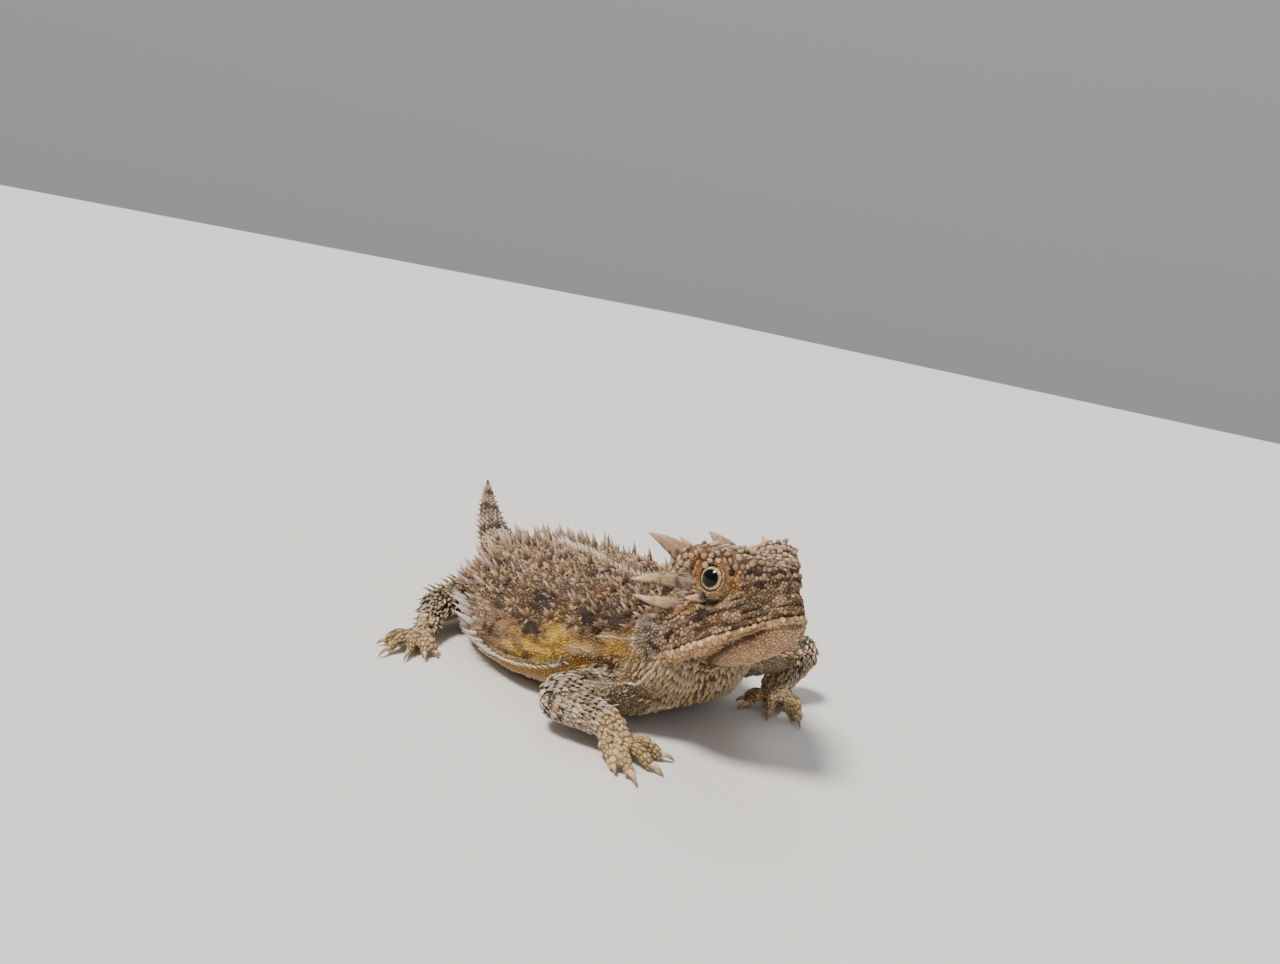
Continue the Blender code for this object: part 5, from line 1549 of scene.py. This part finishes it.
def coat_of_neck(skin):
    here, level, coat = skin.on(NECK_LABEL), skin.level, Coat(NECK_LABEL, FOLD)
    cover(coat, skin, here & (level > 12), 0.6, KEEL, (0.8, 0.66, 0.7), 0.3, 0.2)
    cover(coat, skin, here & (level <= 12) & (level > -14), 0.52, KEEL, (0.74, 0.6, 0.5), 0.5, 0.2)
    cover(coat, skin, skin.on(FOLD), 0.42, GRANULE, (0.5, 0.42, 0.34), 0.6, 0.3)
    chest = rows_on(skin, FORMS[NECK_LABEL], 1.2, 1.0).with_more(scattered(skin, here & (level < -8), 1.05), 0.95)
    chest = chest.only(from_flank(chest.turn) < -10)
    bare = (chest.share > 0.62) & (np.abs(from_flank(chest.turn)) < 45)
    # Near-black roots: painted shade in the gaps under the chest's overlapping scales.
    add_scales(coat, LEAF, chest.only(~bare), (2.0, 1.35, 1.35), 0.06, 0.45, 0.15)
    front = here & (skin.at_triangles(skin.share) > 0.62) & (level < -10) & (level > -45)
    cover(coat, skin, front, 0.5, GRANULE, (0.54, 0.46, 0.36), 0.55, 0.3)
    tall = scattered(skin, here & (level > 14), 2.0)
    size = RNG.uniform(1.0, 2.3, len(tall))
    add_spines(coat, tall, leaning(tall, 1, 0.35, 0.35), size, 0.55 + 0.25 * size, 0.55, 0.8)
    coat.make("coat_neck", "back_skin")


def coat_of_head(skin):
    here, coat = skin.on(HEAD_LABEL), Coat(*HEAD_AND_LIDS)
    head = one_sided(to_head(skin.at_triangles(skin.points)))
    x, _, z = head.T
    drop, hollow_at = z - line_at(MOUTH_LINE, x), line_at(HOLLOW_DROP, x)
    nostril = np.linalg.norm(head - np.array(NOSTRIL), axis=1) < 0.75
    lip = (np.abs(drop) < 0.32) & (x > 1.5)
    top = here & (drop > 0) & ~nostril & ~lip
    crown = scattered(skin, top & (z > 5.0), 0.9)
    at = to_head(crown.points)
    lumps = (0.5 + 0.4 * smooth_step(6.0, 7.2, at[:, 2])) * RNG.random(len(crown)) ** 1.5
    mosaic(coat, crown, 1.0, 0.14 + lumps * smooth_step(-1, 2, at[:, 0]), 0.2, 0.2, 0.5, 8)
    temple = scattered(skin, top & (z <= 5.0) & ((x < 6) | (z > 3.2)), 0.62)
    mosaic(coat, temple, 0.72, 0.06 + 0.34 * RNG.random(len(temple)) ** 2, 0.08, 0.35, 0.22, 8, 0.32)
    cheek = scattered(skin, top & (z <= 3.2) & (x >= 6), 0.42)
    mosaic(coat, cheek, 0.52, RNG.uniform(0.03, 0.14, len(cheek)), 0.04, 0.5, 0.12, 7, 0.36)
    band = scattered(skin, here & (drop <= 0) & (drop > hollow_at * 0.85) & ~lip, 0.66)
    mosaic(coat, band, 0.75, 0.055, 0.03, 0.8, 0.06, 7)
    throat = scattered(skin, here & (drop <= hollow_at * 0.85), 0.46)
    mosaic(coat, throat, 0.5, 0.07, 0.04, 0.75, 0.05, 6)
    for _, root, tip, radius, _ in HORNS:
        for _, _, mirror in mirrors():
            horn_collar(skin, coat, from_head(np.array(root) * mirror), from_head(np.array(tip) * mirror), radius)
    cover(coat, skin, skin.on(LID), 0.32, GRANULE, (0.36, 0.3, 0.24), 0.55, 0.1)
    coat.make("coat_head", "head_skin")


def horn_collar(skin, coat, start, end, radius):
    """Two rings of leaves round a horn's root."""
    run = unit(end - start)
    across = unit(np.cross(run, (0.3, 0.2, 1)))
    over = np.cross(across, run)
    for out, lift, size in ((1.0, 0.6, 1.1), (1.35, 0.2, 1.3)):
        turn = circle(max(7, round(2 * math.pi * radius * out / 0.95)), lift)
        ring = across * np.cos(turn)[:, None] + over * np.sin(turn)[:, None]
        spots = settled(skin, start + run * (0.9 - lift * 0.5) + ring * radius * out, HEAD_LABEL)
        spots = spots.only(np.linalg.norm(np.cross(spots.points - start, run), axis=1) < radius * 1.9)
        spots.lie = np.tile(run, (len(spots), 1))
        add_scales(coat, LEAF, spots, (size, size * 0.85, size * 0.9), 0.3, 0.35)


# Rows of spines along each side of the tail: turn, share where the row starts, count and length.
TAIL_ROWS = ((8.0, 0.03, 18, 2.6), (48.0, 0.02, 13, 1.7))


def coat_of_tail(skin):
    form, coat = FORMS[TAIL_LABEL], Coat(TAIL_LABEL)
    rows = rows_on(skin, form, 1.0, 1.0)
    size = 1.5 - 0.6 * rows.share
    add_scales(coat, LEAF, rows, (size, size * 0.72, size * 0.8), 0.28, 0.22, 0.12)
    for sign in SIDES.values():
        for turn, start, count, length in TAIL_ROWS:
            shares = start + (0.95 - start) * (np.arange(count) + 0.25 * RNG.random(count)) / count
            turns = np.full(count, turn if sign > 0 else 180 - turn)
            spots = settled(skin, form.spot(shares, turns)[0], TAIL_LABEL)
            sizes = length * (1 - 0.72 * shares) * RNG.uniform(0.9, 1.1, count)
            lies, widths = leaning(spots, 0.9, 0.05, 0.6), 0.6 + 0.5 * (1 - shares)
            add_spines(coat, spots, lies, sizes, widths, 0.5, 0.8, 1.2)
    coat.make("coat_tail", "back_skin")


# Rows of longer pointed scales along each length of a limb: their turns and their size.
LIMB_ROWS = {
    "upper_arm": ((20, 160), 1.7), "forearm": ((0, 60, 120, 180), 1.6),
    "thigh": ((0, 45, 90, 135, 180), 2.4), "shank": ((15, 90, 165), 1.6),
}


def coat_of_limbs(skin, name, parts, dark, pale):
    labels = labelled(*parts)
    coat = Coat(*labels)
    for k in labels:
        form, here = FORMS[k], skin.on(k)
        if k in DIGITS:
            spots = rows_on(skin, form, 0.95, 0.85, 0.02)
            mosaic(coat, spots, 0.95, RNG.uniform(0.1, 0.2, len(spots)), 0.06, 0.6, 0.4, 8)
            continue
        if k in FLAT_PARTS:
            spots = scattered(skin, here, 0.7)
            mosaic(coat, spots, 0.8, RNG.uniform(0.1, 0.22, len(spots)), 0.06, 0.6, 0.3, 8)
            continue
        spots = rows_on(skin, form, 1.0, 0.92).with_more(scattered(skin, here, 0.85), 0.75)
        spots = spots.only(spots.points[:, 2] > 0.4)
        if k in UPPER_ARMS:
            spots = spots.only(~((spots.normals[:, 0] > 0.35) & (spots.share > 0.15)))
            grains = scattered(skin, here, 0.5)
            grains = grains.only((grains.normals[:, 0] > 0.3) & (grains.share > 0.1))
            add_scales(coat, GRANULE, grains, (0.54, 0.46, 0.36), 0.55, 0.35)
        size = np.where(from_flank(spots.turn) > -30, 1.5, 1.25)
        add_scales(coat, LEAF, spots, (size, size * 0.74, size * 0.95), dark, pale, 0.15)
        ridge_rows(skin, coat, form)
    coat.make(name, "leg_skin")


def ridge_rows(skin, coat, form):
    """The rows of longer pointed scales along a limb."""
    turns, length = LIMB_ROWS[form.name[:-2]]
    count = max(4, round(np.linalg.norm(form.middle[-1] - form.middle[0]) / 1.9))
    for turn in turns:
        shares = 0.12 + 0.84 * (np.arange(count) + 0.3 + 0.4 * RNG.random(count)) / count
        spots = settled(skin, form.spot(shares, turn + RNG.uniform(-6, 6, count))[0], LABELS[form.name])
        spots = spots.only(spots.points[:, 2] > 0.6)
        sizes = length * RNG.uniform(0.85, 1.15, len(spots))
        add_spines(coat, spots, leaning(spots, 1, 0, 0.4), sizes, np.full(len(spots), 0.9), 0.6, 0.7)


def make_horns():
    rows, sides, below = 30, 28, 3  # below: the rows of points inside the head
    angle = circle(sides)
    top = (rows - 1) * sides
    faces = [tuple(range(sides)), *tube_faces(rows, sides)[:, ::-1].tolist()]
    faces += [(top + k, rows * sides, top + (k + 1) % sides) for k in range(sides)]
    for name, root, tip, radius, bend in HORNS:
        root_tone, tip_tone = HORN_TONES[name]
        for side, _, mirror in mirrors():
            start, end = np.array(root) * mirror, np.array(tip) * mirror
            run = end - start
            across = unit(np.cross(run, (0, 0, 1)))
            over = unit(np.cross(across, run))
            round_it = across * np.cos(angle)[:, None] + over * np.sin(angle)[:, None]
            points, tints = [], []
            for k in range(rows):
                share = (k - below) / (rows - below)
                rise = max(share, 0.0)
                centre = start + run * share * (1.6 if share < 0 else 1.0)
                centre = centre + over * bend * np.linalg.norm(run) * math.sin(math.pi * rise)
                probe = centre * 0.25 + round_it * 1.4 + 40.0
                grain = 1 + 0.05 * np.sin(angle * 7 + share * 4) + 0.03 * math.sin(share * 40)
                grain = grain + sway(probe, 0.45, 0.34) * (1 - rise)
                points.append(centre + round_it * (radius * (1 - rise) ** 0.8 * 0.97 * grain)[:, None])
                tone = np.tile(mixed(root_tone, tip_tone, smooth_step(0.1, 0.75, share)), (sides, 1))
                tone = mixed(tone, colour(92, 70, 58), 0.6 * patches(probe, 0.58, 0.3, 0.42, 9.0) * (1 - 0.6 * rise))
                spots = patches(points[-1], 0.6, 0.7, 1.0, 40.0) * smooth_step(0.8, 0.3, share)
                tone = mixed(tone, colour(62, 44, 36), 0.85 * spots)
                # Painted shade: the underside of each horn is darkened, where light from above does not reach it.
                under = smooth_step(-0.55, -0.9, np.sin(angle)) * smooth_step(0.95, 0.6, share)
                tints.append(mixed(tone, colour(74, 58, 52), 0.75 * under))
            points = np.concatenate([*points, end[None]])
            horn = made(f"{name}_horn_{side}", from_head(points), faces, HORN)
            painted(horn.data, np.concatenate([*tints, np.array([tip_tone])]) * WARMTH)
            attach(horn, "root")
            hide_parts(f"horn_{name}_{side}")


def make_eyes():
    pupil, iris = 33, 42  # degrees from the axis to the edges
    axis = unit(np.array(EYE_AXIS) + np.array((0.09, 0, -0.05)))
    for side, _, mirror in mirrors():
        points, faces = ball_shape((0, 0, 0), EYE_RADIUS * 0.985, 96, 64)
        off = np.degrees(np.arccos(np.clip(points[:, 2] / np.linalg.norm(points, axis=1), -1, 1)))
        points[:, 2] += 0.12 * bump(off, 22)
        edge = off + sway(points, 0.5, 3, 60.0)
        tone = mixed(colour(146, 116, 84), colour(206, 180, 146), smooth_step(pupil, pupil + 5, off))
        tone = flecked(tone, points, (colour(120, 92, 66), 0.6, 0.5, 0.7, 0.4, 20.0))
        tone = mixed(tone, colour(60, 42, 30), smooth_step(iris, iris + 4, off))
        tone = mixed(tone, colour(3, 3, 3), smooth_step(pupil + 0.5, pupil - 1.5, edge))
        points = np.array(EYE_PLACE) * mirror + points @ facing_matrix(axis * mirror).T
        eye = made("eyeball_" + side, from_head(points), faces, EYE)
        painted(eye.data, tone)
        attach(eye, "root")
        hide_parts("eye_" + side)


def make_claws():
    coat, rows, sides = Coat(), 9, 12
    roots, tips = (np.array([claw[k] for claw in CLAWS]) for k in (0, 1))
    radii, run = np.array([claw[2] for claw in CLAWS]), tips - roots
    across = unit(np.cross(run, (0, 0, 1.0)))
    over = unit(np.cross(across, run))
    points, shades = np.empty((2, len(CLAWS), rows * sides + 1, 3))
    for row in range(rows):
        share = row / rows
        lift = over * (0.16 * np.linalg.norm(run, axis=1) * math.sin(math.pi * share))[:, None]
        for k, a in enumerate(circle(sides)):
            offset = across * math.cos(a) * 0.85 + over * math.sin(a) * 1.05
            wide = (radii * (1 - share) ** 0.62)[:, None]
            points[:, row * sides + k] = roots + run * share + lift + offset * wide
        tone = mixed(colour(214, 190, 150), colour(156, 122, 86), smooth_step(0.2, 0.9, share))
        shades[:, row * sides : (row + 1) * sides] = tone
    points[:, -1], shades[:, -1] = tips, colour(138, 106, 76)
    points[..., 2] = np.maximum(points[..., 2], 0.08)
    charts = np.stack([np.linspace(0.05, 0.95, len(CLAWS)), np.full(len(CLAWS), 0.5)], 1)
    coat.gather(points, spike_faces(rows, sides)[:, ::-1], shades, charts, np.zeros((rows * sides + 1, 2)), True)
    coat.make("claws", "foot_skin", HORN)


def paint_skin(skin):
    """The markings on the skin, darkened as painted shade where scales stand on it and their gaps show."""
    level, label = from_flank(skin.turn), skin.label
    # Painted shade: the share of the markings' brightness that the skin keeps in the gaps between the scales.
    gap_shade_factor = np.full(len(skin.points), 0.2)
    gap_shade_factor[np.isin(label, LONG_PARTS)] = 0.08
    gap_shade_factor[(label == TRUNK_LABEL) & (level < BACK_LEVEL)] = 0.62
    gap_shade_factor[np.isin(label, HEAD_AND_LIDS)] = 0.65
    gap_shade_factor[np.isin(label, FLAT_PARTS + DIGITS)] = 0.6
    bare = (skin.normals[:, 0] > 0.3) & np.isin(label, UPPER_ARMS)
    gap_shade_factor[bare | (label == FOLD) | (label == NECK_LABEL) & (level > -45)] = 0.5
    painted(skin.obj.data, markings(skin.points, label, skin.share, skin.turn) * gap_shade_factor[:, None])


def dress():
    skin = Skin()
    print("skin", len(skin.points), "points")
    skin.obj.data.polygons.foreach_set("use_smooth", np.full(len(skin.obj.data.polygons), True))
    skin.obj.data.materials.append(SKIN)
    paint_skin(skin)
    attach(skin.obj, "root")
    flesh = ["torso", "head", "jaw", "neck", "tail_base", "tail_tip"]
    for side in SIDES:
        flesh += [part + side for part in ("upper_arm_", "forearm_", "hand_", "thigh_", "shank_", "foot_")]
    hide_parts(*flesh)
    for coat in (coat_of_trunk, spines_of_back, fringes, ridge_lines, coat_of_neck, coat_of_head, coat_of_tail):
        coat(skin)
    # Leg scales: very dark roots as painted shade in the gaps, and pale tips, partly own colour and partly painted
    # highlight.
    coat_of_limbs(skin, "coat_forelegs", ("upper_arm", "forearm", "palm", "finger"), 0.03, 1.1)
    coat_of_limbs(skin, "coat_hindlegs", ("thigh", "shank", "sole", "toe"), 0.15, 0.7)
    make_horns()
    make_eyes()
    make_claws()


# floor, lights and camera


def make_floor():
    reach = 4.0
    mesh = bpy.data.meshes.new("floor")
    corners = [(-reach, -reach, 0), (reach, -reach, 0), (reach, reach, 0), (-reach, reach, 0)]
    mesh.from_pydata(corners, [], [(0, 1, 2, 3)])
    mesh.materials.append(floor_material("floor_surface"))
    linked("floor", mesh)


def make_world():
    """An even pale studio, a little brighter overhead than along the floor's far edge."""
    own = Finish(bpy.data.worlds.new("studio"))
    split = own.add("SeparateXYZ", {"Vector": own.place.outputs["Generated"]})
    tone = own.ramp(split.outputs["Z"], (0.0, (0.80, 0.78, 0.75)), (0.5, (0.95, 0.96, 1.0)))
    own.feed(own.tree.nodes["Background"], {"Color": tone, "Strength": 0.42})
    bpy.context.scene.world = own.data


def make_sun(name, turn, height, strength, angle, shade):
    lamp = bpy.data.lights.new(name, "SUN")
    lamp.energy, lamp.angle, lamp.color = strength, math.radians(angle), shade
    turn, height = math.radians(turn), math.radians(height)
    towards = Vector((math.cos(turn) * math.cos(height), math.sin(turn) * math.cos(height), math.sin(height)))
    linked(name, lamp).rotation_euler = towards.to_track_quat("Z", "Y").to_euler()


CAMERA_PLACE, CAMERA_LENS, SENSOR_WIDTH = (132.1, -129.6, 73.3), 27.0, 36.0
CAMERA_ANGLES = (45.8, 10.9, 11.5)  # turn, pitch downwards and roll


def make_camera():
    turn, pitch, roll = (math.radians(angle) for angle in CAMERA_ANGLES)
    ahead = Vector((-math.sin(turn) * math.cos(pitch), math.cos(turn) * math.cos(pitch), -math.sin(pitch)))
    right = Vector((math.cos(turn), math.sin(turn), 0))
    up = right.cross(ahead)
    across = right * math.cos(roll) + up * math.sin(roll)
    over = up * math.cos(roll) - right * math.sin(roll)
    data = bpy.data.cameras.new("camera")
    data.lens, data.sensor_width = CAMERA_LENS, SENSOR_WIDTH
    data.clip_start, data.clip_end = 0.005, 20.0
    place = Matrix((across, over, -ahead)).transposed().to_4x4()
    place.translation = Vector(CAMERA_PLACE) * MM
    camera = linked("camera", data)
    camera.matrix_world = place
    bpy.context.scene.camera = camera


dress()
make_floor()
make_world()
make_sun("key", -105, 62, 4.5, 14, (1.0, 0.96, 0.90))
make_sun("rim", 140, 50, 0.7, 30, (0.95, 0.97, 1.0))
make_camera()
